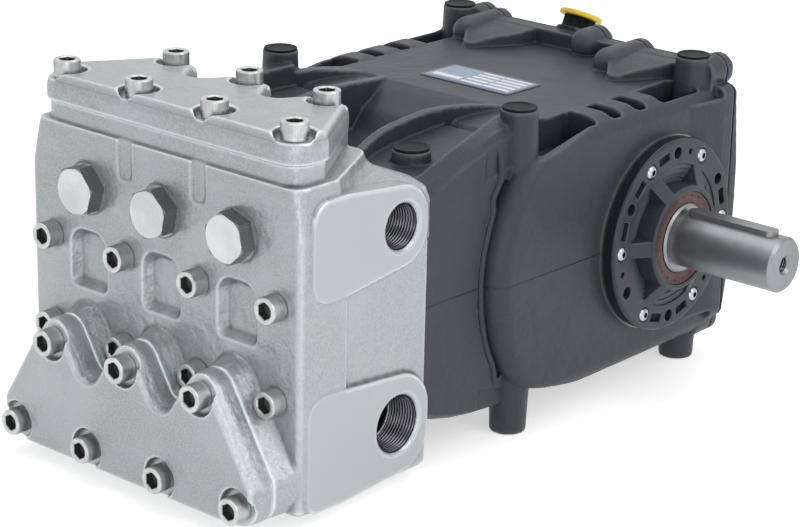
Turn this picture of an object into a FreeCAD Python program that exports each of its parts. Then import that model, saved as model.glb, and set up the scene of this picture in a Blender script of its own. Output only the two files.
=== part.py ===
"""Horizontal triplex plunger pump, built as separate named solids.

The frame has its origin at the centre of the four feet, on the plane the feet stand on.
+X runs along the crankshaft out of the drive end, +Y from the fluid end towards the
power end, +Z up.  All sizes are millimetres.
"""
import FreeCAD, Part
import math
import os

V = FreeCAD.Vector

# Pitch of the three plungers, which sets most of the fluid end.
PITCH = 68.5
LANES = (-1, 0, 1)
HALF_LANES = (-1.5, -0.5, 0.5, 1.5)

# Half widths that follow from the outer screws: cover, block and the neck under the top cover.
COVER_SIDE_LAND = 14.75
HEAD_SIDE_LAND = 5.5
COVER_HALF_WIDTH = 1.5 * PITCH + COVER_SIDE_LAND
HEAD_HALF_WIDTH = COVER_HALF_WIDTH + HEAD_SIDE_LAND
NECK_HALF_WIDTH_TOP = COVER_HALF_WIDTH - 2.5

# Fluid end block.
HEAD_FRONT_Y = -327.0
HEAD_REAR_Y = -203.5
HEAD_BOTTOM_Z = 8.0
HEAD_CORNER_R = 4.0
HEAD_EDGE = 4.0
SIDE_RECESS = 3.2
SIDE_RECESS_FRONT_Y = -284.0
NECK_SETBACK = 1.3
NECK_LEDGE_Z = 226.0
GROOVE_X = ((-39.5, -26.5), (27.5, 40.5))
GROOVE_FOOT_Z = 198.0

# The two valve covers are the same plate, used flat on top and upright in front.
COVER_THICK = 19.0
COVER_WALL = 9.6
COVER_BEVEL = 3.4
COVER_WIDE_ROW = 14.4
COVER_ROW_GAP = 65.9
COVER_CORNER_R = 17.0
COVER_SIDE_R = 7.0
COVER_LOBE_R = 14.2
COVER_SLOPE = 32.4
COVER_VALLEY_R = 10.5
SPOT_R = 13.4
SPOT_DEPTH = 5.0
DELIVERY_SEAM_Z = 238.0
DELIVERY_FRONT_Y = -326.4
SUCTION_SEAM_Y = -343.7
FLANGE_GROW = 4.5

# Cap screws.
SCREW_HEAD_R = 9.0
SCREW_HEAD_H = 12.0
SCREW_HEAD_EDGE = 0.8
SCREW_R = 6.0
SCREW_CLEARANCE = 0.6
SOCKET_AF = 10.0
SOCKET_DEPTH = 6.0
SCREW_GRIP = 24.0
HEAD_BOLT_UPPER_Z = 147.0
HEAD_BOLT_LOWER_Z = 84.5
BOLT_SPOT_DEPTH = 0.8

# Hexagon valve plugs in the front face, each stopped at its own turn.
PLUG_Z = 185.8
PLUG_AF = 30.0
PLUG_HEAD_H = 11.5
PLUG_CROWN = 1.2
PLUG_R = 13.0
PLUG_DEPTH = 20.0
PLUG_WASHER_R = 17.0
PLUG_WASHER_H = 1.6
PLUG_SPOT_R = 18.2
PLUG_SPOT_DEPTH = 1.0
PLUG_FIT = 0.1
PLUG_TURNS = (12.0, 19.5, 42.5)

# Arched pockets under the plugs.
ARCH_HALF_WIDTH = 17.5
ARCH_TOP_Z = 156.5
ARCH_FOOT_Z = 115.0
ARCH_DEPTH = 7.0
ARCH_DRAFT = 4.5
ARCH_R = 13.0

# Side ports and the galleries behind them.
PORT_PAD_X = HEAD_HALF_WIDTH + 1.0
PORT_Y = -233.5
UPPER_PORT_Z = 182.0
UPPER_PORT_R = 15.15
UPPER_PAD_R = 25.0
UPPER_PAD_FRONT_Y = -316.4
UPPER_PAD_TOP_Z = 214.8
UPPER_PAD_FOOT_Z = 148.0
LOWER_PORT_Z = 46.5
LOWER_PORT_R = 19.5
LOWER_PAD_R = 30.0
LOWER_PAD_FRONT_Y = -319.7
LOWER_PAD_TOP_Z = 87.0
PORT_MOUTH = 2.0
GALLERY_STEP = 2.4
PORT_DEPTH = 24.0

# Crankcase.
SHAFT_Y = 42.15
SHAFT_Z = 115.75
CASE_HALF_WIDTH = 130.0
CASE_REAR_Y = 120.0
CASE_HALF_HEIGHT = 96.75
CASE_CORNER_R = 14.0
FRONT_ARC_Y = -24.0
FRONT_ARC_R = 116.0
FRONT_ARC_EDGE_R = 13.5
CASE_GROOVE = 5.0
CASE_GROOVE_X = CASE_HALF_WIDTH - 18.5
CASE_GROOVE_HALF_HEIGHT = 71.0
NECK_HALF_WIDTH = CASE_HALF_WIDTH - 14.5
NECK_BEVEL = 4.5
NECK_RIM = 7.0
NECK_STATIONS = ((-203.5, 68.0, 81.5, 86.5, 75.0), (-185.0, 79.0, 86.0, 93.0, 81.0),
                 (-165.0, 88.0, 92.5, 98.5, 86.0), (-145.0, 93.5, 99.5, 103.0, 89.0),
                 (-126.0, 97.0, 105.0, 106.5, 90.5), (-104.0, 98.0, 107.0, 108.5, 91.0))

# Top of the neck: two trays, two ridges and the valley between them.
TRAY_FRONT_Z = 203.0
TRAY_REAR_Z = 211.0
TRAY_REAR_Y = -45.0
RIDGE_TOP = ((-203.5, 211.5), (-165.0, 217.5), (-120.0, 220.4), (-100.0, 219.5), (-72.0, 216.4),
             (-48.0, 212.6))
RIDGE_GAP_Z = 205.0
RIDGE_W = 7.0
SHOULDER_RIB_TOP_Z = 219.0
RIDGE_LINE = ((-204.0, 61.0), (-170.0, 50.5), (-135.0, 47.5), (-100.0, 47.5), (-75.0, 50.5), (-52.0, 59.0))
TRAY_LINE = ((-204.0, 104.5), (-160.0, 102.5), (-121.0, 97.0), (-95.0, 90.0), (-72.0, 83.0), (-52.0, 72.0))
SHOULDER_LINE = ((-204.0, 112.0), (-121.0, 108.0), (-95.0, 105.0), (-72.0, 101.0), (-52.0, 95.0))
VALLEY_FLOOR = ((-204.0, 168.0), (-140.0, 177.0), (-101.0, 186.0), (-88.0, 199.5), (-66.0, 209.5),
                (-46.0, 214.5))
TRAY_BOSS = (81.0, -177.0)
TRAY_BOSS_R = 13.0
TRAY_BOSS_TOP_Z = 213.0

# Ribs along both sides of the plateau, above and below.
RIB_PITCH = 29.2
RIB_FIRST_Y = -22.2
RIB_W = 16.0
RIB_POCKET_INNER_X = CASE_HALF_WIDTH - 34.0
RIB_POCKET_OUTER_X = CASE_HALF_WIDTH - 6.5
RIB_POCKET_DEPTH = 24.0
RIB_POCKET_R = 3.5
RIB_BULGE = 1.4
RIB_SLOPE = 0.2

# Feet below and matching posts above.
FOOT_X = CASE_HALF_WIDTH - 19.5
FOOT_Y = 101.3
FOOT_TOP_R = 12.75
FOOT_ROOT_R = 15.0
FOOT_LENGTH = 60.0
FOOT_HOLE_R = 5.1
FOOT_HOLE_DEPTH = 22.0
POST_TOP_Z = 231.5

# Rear flange, wedges, screw bosses and rear cover.
REAR_FLANGE_W = 12.5
REAR_HALF_WIDTH = CASE_HALF_WIDTH + 6.0
REAR_FLARE_START_Y = 60.0
REAR_SIDE_TOP = 95.5
REAR_SIDE_FOOT = 85.0
REAR_SIDE_R = 8.0
REAR_BAND_HALF_WIDTH = REAR_HALF_WIDTH - 17.0
REAR_BAND_TOP = 109.0
REAR_BAND_FOOT = 97.0
REAR_CORNER_LOBE_X = FOOT_X + 6.0
REAR_LOBES_TOP = ((-103.0, 103.3), (7.0, 104.3), (47.0, 101.0), (REAR_CORNER_LOBE_X, 103.3))
REAR_LOBES_LOW = (-REAR_CORNER_LOBE_X, -60.0, 0.0, 60.0, REAR_CORNER_LOBE_X)
REAR_PLAIN_LOBE = (-88.5, 101.0)
REAR_BOSS_STARTS = (74.0, 99.0, 74.0)
REAR_LOBE_DROP = 88.5
REAR_LOBE_R = 12.0
WEDGE_PLAN = ((68.0, 53.0, 8.0), (84.0, 77.0, 14.0), (96.0, 101.0, 0), (96.0, 119.0, 0), (38.0, 119.0, 0),
              (43.0, 90.0, 22.0))
WEDGE_PROFILE = ((50.0, 1.0, 0), (61.0, 4.5, 16.0), (75.0, 8.7, 50.0), (99.0, 11.2, 100.0),
                 (119.0, 12.2, 0))
GASKET_THICK = 1.0
REAR_LOBE_END_Y = 128.0
REAR_SCREW_SPOT_R = 8.5
REAR_SCREW_HEAD_R = 6.5
REAR_SCREW_HEAD_H = 8.0
REAR_SCREW_R = 4.0
REAR_SCREW_GRIP = 22.0
REAR_COVER_SIDE = ((-98.0, 121.8, 0), (-84.0, 121.8, 6.0), (-56.0, 126.0, 60.0), (4.0, 130.0, 200.0),
                   (36.0, 129.2, 150.0), (84.0, 123.8, 30.0), (110.0, 122.0, 0))
REAR_PANEL_Y = 137.0
REAR_PANEL_HALF_WIDTH = 106.0
REAR_PANEL_TOP = 70.0
REAR_PANEL_FOOT = 58.0
REAR_PANEL_DRAFT = 13.0

# Bearing covers on both sides.
FLANGE_R = 71.0
FLANGE_THICK = 11.0
FLANGE_EDGE = 2.0
FLANGE_SPIGOT_R = 54.0
FLANGE_SPIGOT = 8.0
FLANGE_PCD = 122.5
FLANGE_SCREWS = 6
FLANGE_TAP_R = 4.25
FLANGE_TAP_DEPTH = 9.0
FLANGE_POCKETS = (15.0, 105.0, 135.0, 165.0, 255.0, 285.0, 345.0)
FLANGE_POCKET_LENGTH = 13.0
FLANGE_POCKET_W = 6.0
FLANGE_POCKET_DEPTH = 5.0
DISH_R = 52.0
DISH_DEPTH = 4.0
DISH_DEEP_R = 44.0
DISH_DEEP = 11.0
HUB_R = 38.5
HUB_PROUD = 10.5
HUB_EDGE = 1.2
SPOKE_W = 11.5
PILOT_HOLE_R = 2.25
PILOT_HOLE_DEPTH = 6.0
SHIM_R = 71.6
SHIM_THICK = 1.5
FLANGE_FACE_X = CASE_HALF_WIDTH + SHIM_THICK + FLANGE_THICK
CASE_BORE_FIT = 0.2
COVER_ROOM = 1.0
SMALL_SCREW_HEAD_R = 5.2
SMALL_SCREW_HEAD_H = 3.0
SMALL_SCREW_SINK = 1.6
SMALL_SCREW_R = 3.0
SMALL_SCREW_GRIP = 19.0
SMALL_SCREW_SOCKET_AF = 4.6
SMALL_SCREW_SOCKET = 1.8
SMALL_SCREW_CLEARANCE = 0.3

# Shaft, seal and key.
SHAFT_LENGTH = 94.25
SHAFT_END_X = FLANGE_FACE_X + SHAFT_LENGTH
SHAFT_R = 20.0
SHAFT_CHAMFER = 2.0
SHOULDER_R = 25.4
SHOULDER_X = FLANGE_FACE_X + HUB_PROUD + 0.5
SHOULDER_EDGE = 1.5
SHAFT_INNER_X = CASE_HALF_WIDTH - 6.0
SHAFT_HOLE_R = 5.1
SHAFT_HOLE_DEPTH = 28.0
SHAFT_HOLE_MOUTH_R = 7.2
RUNNING_FIT = 0.05
SEAL_R = 34.2
SEAL_DEPTH = 10.0
SEAL_SINK = 1.0
SEAL_FIT = 0.02
KEY_W = 12.0
KEY_H = 8.0
KEY_SEAT = 5.0
KEY_START_X = SHOULDER_X + 2.5
KEY_END_X = SHAFT_END_X - 7.75
KEY_FIT = 0.02

# Small fittings.
FILLER_X = -20.0
FILLER_Y = 133.4
FILLER_TOP_Z = 222.2
FILLER_TILT = 25.0
FILLER_BOSS_R = 15.5
FILLER_BOSS_LENGTH = 30.0
FILLER_NECK_R = 12.5
FILLER_NECK = 9.2
FILLER_DISC_R = 16.8
FILLER_DISC = 3.2
CAP_H = 1.6
CAP_FIT = 0.6
PLATE_HALF = (41.5, 20.5)
PLATE_CENTRE_Y = -7.5
PLATE_THICK = 0.6
PLATE_CORNER_R = 4.0


def at(axis, a, b, level):
    """Point on the plane across an axis: a and b run along the other two axes."""
    if axis == "X":
        return V(level, a, b)
    if axis == "Y":
        return V(a, level, b)
    return V(a, b, level)


def along(axis, length):
    """Vector of a given length along an axis."""
    return {"X": V(length, 0, 0), "Y": V(0, length, 0), "Z": V(0, 0, length)}[axis]


def corner_span(prev_p, this_p, next_p):
    """Start, middle and end of the arc that rounds one corner of an outline."""
    p = V(this_p[0], this_p[1], 0)
    u = V(prev_p[0], prev_p[1], 0).sub(p)
    w = V(next_p[0], next_p[1], 0).sub(p)
    u.normalize()
    w.normalize()
    radius = this_p[2]
    half = 0.5 * u.getAngle(w)
    if radius <= 0 or half > 1.5707:
        return p, p, p
    reach = radius / math.tan(half)
    towards = u.add(w).normalize()
    centre = p.add(V(towards).multiply(radius / math.sin(half)))
    middle = centre.sub(V(towards).multiply(radius))
    return p.add(V(u).multiply(reach)), middle, p.add(V(w).multiply(reach))


def outline(points, axis, level):
    """Closed wire through (a, b, radius) corners, each corner rounded by its radius."""
    count = len(points)
    spans = [corner_span(points[i - 1], points[i], points[(i + 1) % count]) for i in range(count)]
    edges = []
    for i in range(count):
        start, middle, end = spans[i]
        if start.distanceToPoint(end) > 1e-6:
            arc = [at(axis, q.x, q.y, level) for q in (start, middle, end)]
            edges.append(Part.Arc(*arc).toShape())
        nxt = spans[(i + 1) % count][0]
        if end.distanceToPoint(nxt) > 1e-6:
            edges.append(Part.makeLine(at(axis, end.x, end.y, level), at(axis, nxt.x, nxt.y, level)))
    return Part.Wire(edges)


def slab(points, axis, low, high):
    """Solid between two levels of an axis with a rounded-corner outline."""
    return Part.Face(outline(points, axis, low)).extrude(along(axis, high - low))


def loft(sections, axis, ruled=True):
    """Solid through (level, points) sections stacked along an axis."""
    return Part.makeLoft([outline(points, axis, level) for level, points in sections], True, ruled)


def box(x0, x1, y0, y1, z0, z1):
    """Axis-aligned block between two corners."""
    return Part.makeBox(x1 - x0, y1 - y0, z1 - z0, V(x0, y0, z0))


def rod(axis, centre, radius, length, top_radius=None):
    """Cylinder or cone from a point along an axis; a negative length runs backwards."""
    direction = along(axis, math.copysign(1.0, length))
    base = V(*centre)
    if top_radius is None:
        return Part.makeCylinder(radius, abs(length), base, direction)
    return Part.makeCone(radius, top_radius, abs(length), base, direction)


def hexagon(axis, centre, across_flats, length, turn=0.0):
    """Hexagonal bar from a point along an axis."""
    reach = across_flats / math.sqrt(3.0)
    picks = {"X": (1, 2, 0), "Y": (0, 2, 1), "Z": (0, 1, 2)}[axis]
    a0, b0, level = (centre[i] for i in picks)
    corners = []
    for i in range(6):
        t = math.radians(turn + 60.0 * i)
        corners.append((a0 + reach * math.cos(t), b0 + reach * math.sin(t), 0))
    return slab(corners, axis, level, level + length)


def fused(shapes):
    """Union of several solids as one clean shape."""
    shapes = list(shapes)
    whole = shapes[0]
    if len(shapes) > 1:
        whole = whole.multiFuse(shapes[1:])
    return whole.removeSplitter()


def cut(shape, tools):
    """Shape less every tool."""
    return shape.cut(Part.makeCompound(list(tools)))


def mirrored(shape):
    """Copy of a shape on the other side of the middle plane."""
    return shape.mirror(V(0, 0, 0), V(1, 0, 0))


def both_sides(shape):
    """A shape together with its mirror image."""
    return [shape, mirrored(shape)]


def cap_screw(axis, seat, sign):
    """Socket-head cap screw: its head stands off the seat along sign times the axis."""
    unit = along(axis, sign)
    barrel = SCREW_HEAD_H - SCREW_HEAD_EDGE
    head = rod(axis, seat, SCREW_HEAD_R, sign * barrel)
    edge_from = V(*seat).add(V(unit).multiply(barrel))
    edge = rod(axis, tuple(edge_from), SCREW_HEAD_R, sign * SCREW_HEAD_EDGE, SCREW_HEAD_R - SCREW_HEAD_EDGE)
    socket_from = V(*seat).add(V(unit).multiply(SCREW_HEAD_H - SOCKET_DEPTH))
    socket = hexagon(axis, tuple(socket_from), SOCKET_AF, sign * (SOCKET_DEPTH + 1.0), 30.0)
    shank = rod(axis, seat, SCREW_R, -sign * SCREW_GRIP)
    return fused([head, edge, shank]).cut(socket)


def screw_hole(axis, seat, sign):
    """Clearance hole for a cap screw below its seat."""
    return rod(axis, seat, SCREW_R + SCREW_CLEARANCE, -sign * (SCREW_GRIP + 2.0))


def cover_corners(inset):
    """Corners of the valve cover in its own plane, shrunk by inset: u across, v from the wide edge.

    Each narrow-row screw has a round lobe, and the walls between the lobes, like the
    outer sides, lean by one slope tangent to them.
    """
    slope = math.radians(COVER_SLOPE)
    row = COVER_WIDE_ROW + COVER_ROW_GAP
    radius = COVER_LOBE_R - inset
    apex = row + radius / math.sin(slope)
    valley = row + (radius - 0.5 * PITCH * math.cos(slope)) / math.sin(slope)
    half = COVER_HALF_WIDTH - inset
    side = row + (radius - (half - PITCH) * math.cos(slope)) / math.sin(slope)
    corners = [(-half, inset, COVER_CORNER_R - inset), (half, inset, COVER_CORNER_R - inset),
               (half, side, COVER_SIDE_R)]
    for lane in (1, 0, -1):
        corners.append((lane * PITCH, apex, radius))
        if lane > -1:
            corners.append(((lane - 0.5) * PITCH, valley, COVER_VALLEY_R + inset))
    corners.append((-half, side, COVER_SIDE_R))
    return corners


def delivery_plan(inset=0.0):
    """The cover's corners as they lie flat on top of the block."""
    return [(u, DELIVERY_FRONT_Y + v, r) for u, v, r in cover_corners(inset)]


def suction_plan(inset=0.0):
    """The cover's corners as they stand upright in front of the block."""
    return [(u, HEAD_BOTTOM_Z + v, r) for u, v, r in cover_corners(inset)]


def delivery_seats():
    """Screw seats of the top cover: the front row, then the rear row."""
    z = DELIVERY_SEAM_Z + COVER_THICK - SPOT_DEPTH
    front = DELIVERY_FRONT_Y + COVER_WIDE_ROW
    rows = [(k * PITCH, front, z) for k in HALF_LANES]
    return rows, [(k * PITCH, front + COVER_ROW_GAP, z) for k in LANES]


def suction_seats():
    """Screw seats of the front cover: the lower row, then the upper row."""
    y = SUCTION_SEAM_Y - COVER_THICK + SPOT_DEPTH
    low = HEAD_BOTTOM_Z + COVER_WIDE_ROW
    rows = [(k * PITCH, y, low) for k in HALF_LANES]
    return rows, [(k * PITCH, y, low + COVER_ROW_GAP) for k in LANES]


def head_bolt_seats():
    """Seats of the long bolts that hold the block to the crankcase: upper, then lower."""
    y = HEAD_FRONT_Y + BOLT_SPOT_DEPTH
    upper = [(k * PITCH, y, HEAD_BOLT_UPPER_Z) for k in HALF_LANES]
    return upper, [(k * PITCH, y, HEAD_BOLT_LOWER_Z) for k in HALF_LANES]


def valve_cover(plan, axis, seam, sign, seats):
    """Valve cover: straight wall at the seam, then a wide bevel, with sunk screw seats."""
    edge = 0.5 * COVER_BEVEL
    levels = ((0.0, 0.0), (COVER_WALL, 0.0), (COVER_THICK - edge, COVER_BEVEL - edge), (COVER_THICK, COVER_BEVEL))
    plate = loft([(seam + sign * step, plan(inset)) for step, inset in levels], axis)
    tools = [rod(axis, s, SPOT_R, sign * (SPOT_DEPTH + 1.0)) for s in seats]
    tools += [screw_hole(axis, s, sign) for s in seats]
    return cut(plate, tools)


def delivery_cover():
    """Flat valve cover on top of the block."""
    front, rear = delivery_seats()
    return valve_cover(delivery_plan, "Z", DELIVERY_SEAM_Z, 1, front + rear)


def suction_cover():
    """Upright valve cover in front of the block."""
    low, high = suction_seats()
    return valve_cover(suction_plan, "Y", SUCTION_SEAM_Y, -1, low + high)


def upper_pad_corners():
    """Outline of the upper port pad, as Y and Z."""
    y, z, r = PORT_Y, UPPER_PORT_Z, UPPER_PAD_R
    f, top, foot = UPPER_PAD_FRONT_Y, UPPER_PAD_TOP_Z, UPPER_PAD_FOOT_Z
    return [(f, foot, 15.0), (f, top, 15.0), (y - 50.0, top, 30.0), (y + r, z + r, r - 1.0),
            (y + r, z - r, r - 1.0), (y - 50.0, foot, 40.0)]


def lower_pad_corners():
    """Outline of the lower port pad, as Y and Z."""
    y, z, r = PORT_Y, LOWER_PORT_Z, LOWER_PAD_R
    f, top, foot = LOWER_PAD_FRONT_Y, LOWER_PAD_TOP_Z, HEAD_BOTTOM_Z
    return [(f, foot, 10.0), (f, top, 14.0), (y - 65.0, top, 30.0), (y + r, z + r + 2.0, r - 1.0),
            (y + r, z - r - 4.0, r - 1.0), (y - 50.0, foot, 40.0)]


def block_section(half, front, front_r, side_y, rear_x, rear_y, rear_r):
    """One level of the block as X and Y: front corners, side breaks and rear corners."""
    return [(-half, front, front_r), (half, front, front_r), (half + 0.4, side_y, 12.0), (rear_x, rear_y, rear_r),
            (-rear_x, rear_y, rear_r), (-half - 0.4, side_y, 12.0)]


def block_body():
    """Main casting of the fluid end: straight block, soft shoulder and the neck under the top cover."""
    w, f, r = HEAD_HALF_WIDTH, HEAD_FRONT_Y, HEAD_REAR_Y
    side = DELIVERY_FRONT_Y + 36.0
    n, back = PITCH + COVER_LOBE_R + 6.0, DELIVERY_FRONT_Y + COVER_WIDE_ROW + COVER_ROW_GAP + COVER_LOBE_R
    edge = f + HEAD_EDGE
    levels = [
        (HEAD_BOTTOM_Z, block_section(w - HEAD_EDGE, edge, 5.0, side, w - HEAD_EDGE, r, 4.0)),
        (HEAD_BOTTOM_Z + HEAD_EDGE, block_section(w, f, HEAD_CORNER_R, side, w, r, 4.0)),
        (194.0, block_section(w, f, HEAD_CORNER_R, side, w, r, 5.0)),
        (202.0, block_section(w - 0.8, f, 5.6, side, w - 3.0, r, 7.0)),
        (207.0, block_section(w - 1.4, f, 6.4, side, w - 12.0, r - 4.0, 9.0)),
        (210.0, block_section(w - 1.8, f, 7.0, side, w - 21.0, r - 11.0, 11.0)),
        (214.0, block_section(w - 2.2, f, 8.0, side, n + 5.0, back + 8.0, 13.0)),
        (219.0, block_section(w - 2.8, f, 9.0, side, n + 1.5, back + 3.0, 13.0)),
        (NECK_LEDGE_Z - 1.0, block_section(w - 3.6, f + 0.2, 10.5, side, n, back + 1.0, 13.0)),
    ]
    body = loft(levels, "Z")
    grow = NECK_HALF_WIDTH_TOP - COVER_HALF_WIDTH
    neck = slab([(u, max(y, f + NECK_SETBACK), rad) for u, y, rad in neck_plan(grow)], "Z", NECK_LEDGE_Z - 14.0,
                DELIVERY_SEAM_Z)
    return fused([body, neck])


def neck_plan(grow):
    """Plan of the neck under the top cover: the cover's outline without its valleys."""
    corners = delivery_plan(-grow)
    return [c for c in corners if c[2] < COVER_VALLEY_R - grow - 0.01 or c[2] > COVER_VALLEY_R - grow + 0.01]


def port_pads():
    """Machined pads around the side ports."""
    pads = []
    for corners in (upper_pad_corners(), lower_pad_corners()):
        pads += both_sides(slab(corners, "X", HEAD_HALF_WIDTH - 12.0, PORT_PAD_X))
    return pads


def flange_plan(grow):
    """Suction cover's outline grown by a margin, with its lower edge kept at the block's bottom."""
    return [(u, max(z, HEAD_BOTTOM_Z), r) for u, z, r in suction_plan(-grow)]


def suction_flange():
    """Raised face behind the suction cover, spreading into the block with drafted sides."""
    levels = ((SUCTION_SEAM_Y, 0.0), (SUCTION_SEAM_Y + 5.0, 0.8), (HEAD_FRONT_Y, FLANGE_GROW),
              (HEAD_FRONT_Y + 2.0, FLANGE_GROW))
    return loft([(y, flange_plan(grow)) for y, grow in levels], "Y")


def arch_corners(spread):
    """Outline of an arched pocket as X and Z, widened by spread."""
    w, top, foot = ARCH_HALF_WIDTH + spread, ARCH_TOP_Z + spread, ARCH_FOOT_Z - spread
    return [(-w, foot, 6.0 + spread), (w, foot, 6.0 + spread), (w, top, ARCH_R + spread), (-w, top, ARCH_R + spread)]


def arch_pockets():
    """Three drafted pockets in the front face, one under each plug."""
    tool = loft([(HEAD_FRONT_Y - 1.0, arch_corners(0.8)), (HEAD_FRONT_Y + ARCH_DEPTH, arch_corners(-ARCH_DRAFT))], "Y")
    return [tool.translated(V(k * PITCH, 0, 0)) for k in LANES]


def port_tools():
    """Threaded mouths, chamfers and galleries of the side ports."""
    tools = []
    for z, r in ((UPPER_PORT_Z, UPPER_PORT_R), (LOWER_PORT_Z, LOWER_PORT_R)):
        for side in (-1, 1):
            face = (side * PORT_PAD_X, PORT_Y, z)
            tools.append(rod("X", face, r, -side * PORT_DEPTH))
            tools.append(rod("X", face, r + PORT_MOUTH, -side * PORT_MOUTH, r))
        tools.append(rod("X", (-PORT_PAD_X + 1.0, PORT_Y, z), r - GALLERY_STEP, 2 * PORT_PAD_X - 2.0))
    return tools


def front_tools():
    """Plug seats, pocket arches, ledge grooves and screw holes of the front and top."""
    f = HEAD_FRONT_Y
    tools = arch_pockets()
    for k in LANES:
        tools.append(rod("Y", (k * PITCH, f - 1.0, PLUG_Z), PLUG_SPOT_R, PLUG_SPOT_DEPTH + 1.0))
        tools.append(rod("Y", (k * PITCH, f, PLUG_Z), PLUG_R + PLUG_FIT, PLUG_DEPTH + 2.0))
    for x0, x1 in GROOVE_X:
        groove = [(x0, GROOVE_FOOT_Z, 5.0), (x1, GROOVE_FOOT_Z, 5.0), (x1, NECK_LEDGE_Z + 1.0, 0),
                  (x0, NECK_LEDGE_Z + 1.0, 0)]
        tools.append(slab(groove, "Y", f - 1.0, f + NECK_SETBACK))
    front, rear = delivery_seats()
    tools += [screw_hole("Z", s, 1) for s in front + rear]
    low, high = suction_seats()
    tools += [screw_hole("Y", s, -1) for s in low + high]
    upper, lower = head_bolt_seats()
    for s in upper + lower:
        tools.append(rod("Y", s, SCREW_HEAD_R + 1.5, -BOLT_SPOT_DEPTH - 1.0))
        tools.append(rod("Y", s, SCREW_HEAD_R + SCREW_CLEARANCE, -SCREW_HEAD_H - 2.0))
        tools.append(screw_hole("Y", s, -1))
    return tools


def side_recesses():
    """Shallow set-back of both side walls between the port pads."""
    corners = [(SIDE_RECESS_FRONT_Y, 84.0, 4.0), (SIDE_RECESS_FRONT_Y, 152.0, 4.0), (HEAD_REAR_Y + 5.0, 170.0, 0),
               (HEAD_REAR_Y + 5.0, 62.0, 0)]
    return both_sides(slab(corners, "X", HEAD_HALF_WIDTH - SIDE_RECESS, HEAD_HALF_WIDTH + 1.5))


def fluid_end_block():
    """Cast block: shoulder and neck, port pads, galleries, suction flange, plug and bolt holes."""
    body = cut(block_body(), side_recesses())
    solid = fused([body, suction_flange()] + port_pads())
    return cut(solid, port_tools() + front_tools())


def valve_plugs():
    """Three hexagon plugs in the front face."""
    plugs = []
    seat = HEAD_FRONT_Y + PLUG_SPOT_DEPTH - PLUG_WASHER_H
    for k, turn in zip(LANES, PLUG_TURNS):
        centre = (k * PITCH, seat, PLUG_Z)
        head = hexagon("Y", centre, PLUG_AF, -PLUG_HEAD_H, turn)
        far = 0.5 * PLUG_AF / math.cos(math.radians(30.0))
        crown = rod("Y", (k * PITCH, seat - PLUG_HEAD_H, PLUG_Z), 0.5 * PLUG_AF, PLUG_CROWN, far + 0.4)
        trim = fused([crown, rod("Y", (k * PITCH, seat - PLUG_HEAD_H + PLUG_CROWN, PLUG_Z), far + 0.4, PLUG_HEAD_H)])
        plugs.append(fused([head.common(trim), rod("Y", centre, PLUG_R, PLUG_DEPTH)]))
    return Part.makeCompound(plugs)


def plug_washers():
    """Sealing rings under the plugs."""
    rings = []
    for k in LANES:
        y = HEAD_FRONT_Y + PLUG_SPOT_DEPTH
        ring = rod("Y", (k * PITCH, y, PLUG_Z), PLUG_WASHER_R, -PLUG_WASHER_H)
        rings.append(ring.cut(rod("Y", (k * PITCH, y + 1.0, PLUG_Z), PLUG_R + PLUG_FIT, -PLUG_WASHER_H - 2.0)))
    return Part.makeCompound(rings)


def case_section(half_width, half_height, radius):
    """Cross-section of the crankcase about the shaft's height, as X and Z."""
    low, high = SHAFT_Z - half_height, SHAFT_Z + half_height
    return [(-half_width, low, radius), (half_width, low, radius),
            (half_width, high, radius), (-half_width, high, radius)]


def front_drum(radius, half_width, edge_r):
    """Drum across the pump whose rim is the housing's bowed front, with rounded edges."""
    r, w, e = radius, half_width, edge_r
    profile = outline([(-w, 0.0, 0), (w, 0.0, 0), (w, r, e), (-w, r, e)], "Z", 0.0)
    drum = Part.Face(profile).revolve(V(0, 0, 0), V(1, 0, 0), 360.0)
    return drum.translated(V(0, FRONT_ARC_Y, SHAFT_Z))


def housing():
    """Main housing: rounded section, bowed front with soft side edges."""
    section = slab(case_section(CASE_HALF_WIDTH, CASE_HALF_HEIGHT, CASE_CORNER_R), "Y",
                   FRONT_ARC_Y - FRONT_ARC_R - 1.0, CASE_REAR_Y)
    back = box(-CASE_HALF_WIDTH, CASE_HALF_WIDTH, FRONT_ARC_Y, CASE_REAR_Y + 1.0,
               SHAFT_Z - CASE_HALF_HEIGHT - 1.0, SHAFT_Z + CASE_HALF_HEIGHT + 1.0)
    return section.common(fused([front_drum(FRONT_ARC_R, CASE_HALF_WIDTH, FRONT_ARC_EDGE_R), back]))


def neck_section(wall, bevel, rim, foot):
    """Section of the neck from heights above and below the shaft: flat side, bevel and rim on top."""
    w = NECK_HALF_WIDTH
    right = [(w - NECK_BEVEL - 2.0, -foot - 3.5), (w, -foot), (w, wall), (w - NECK_BEVEL, bevel),
             (w - NECK_BEVEL - NECK_RIM, rim)]
    ring = right + [(-x, h) for x, h in reversed(right)]
    return [(x, SHAFT_Z + h, 0) for x, h in ring]


def neck():
    """Neck towards the fluid end, growing in height back to the posts."""
    return loft([(station[0], neck_section(*station[1:])) for station in NECK_STATIONS], "Y")


def spline_edge(line, shift, level):
    """Smooth edge through (y, x) points of one side, moved sideways by shift."""
    curve = Part.BSplineCurve()
    curve.interpolate([V(x + shift, y, level) for y, x in line])
    return curve.toShape()


def between(inner, inner_shift, outer, outer_shift, low, high):
    """Upright prism between two smooth side lines of the drive side."""
    a, b = spline_edge(inner, inner_shift, low), spline_edge(outer, outer_shift, low)
    ends = [Part.makeLine(a.Vertexes[0].Point, b.Vertexes[0].Point),
            Part.makeLine(a.Vertexes[-1].Point, b.Vertexes[-1].Point)]
    wire = Part.Wire(Part.__sortEdges__([a, ends[1], b, ends[0]]))
    return Part.Face(wire).extrude(V(0, 0, high - low))


def above(points, top, reach=150.0):
    """Space above a (y, z) line up to a level, across the whole width."""
    first, last = points[0], points[-1]
    ring = [(y, z, 0) for y, z in points] + [(last[0], top, 0), (first[0], top, 0)]
    return slab(ring, "X", -reach, reach)


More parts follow.
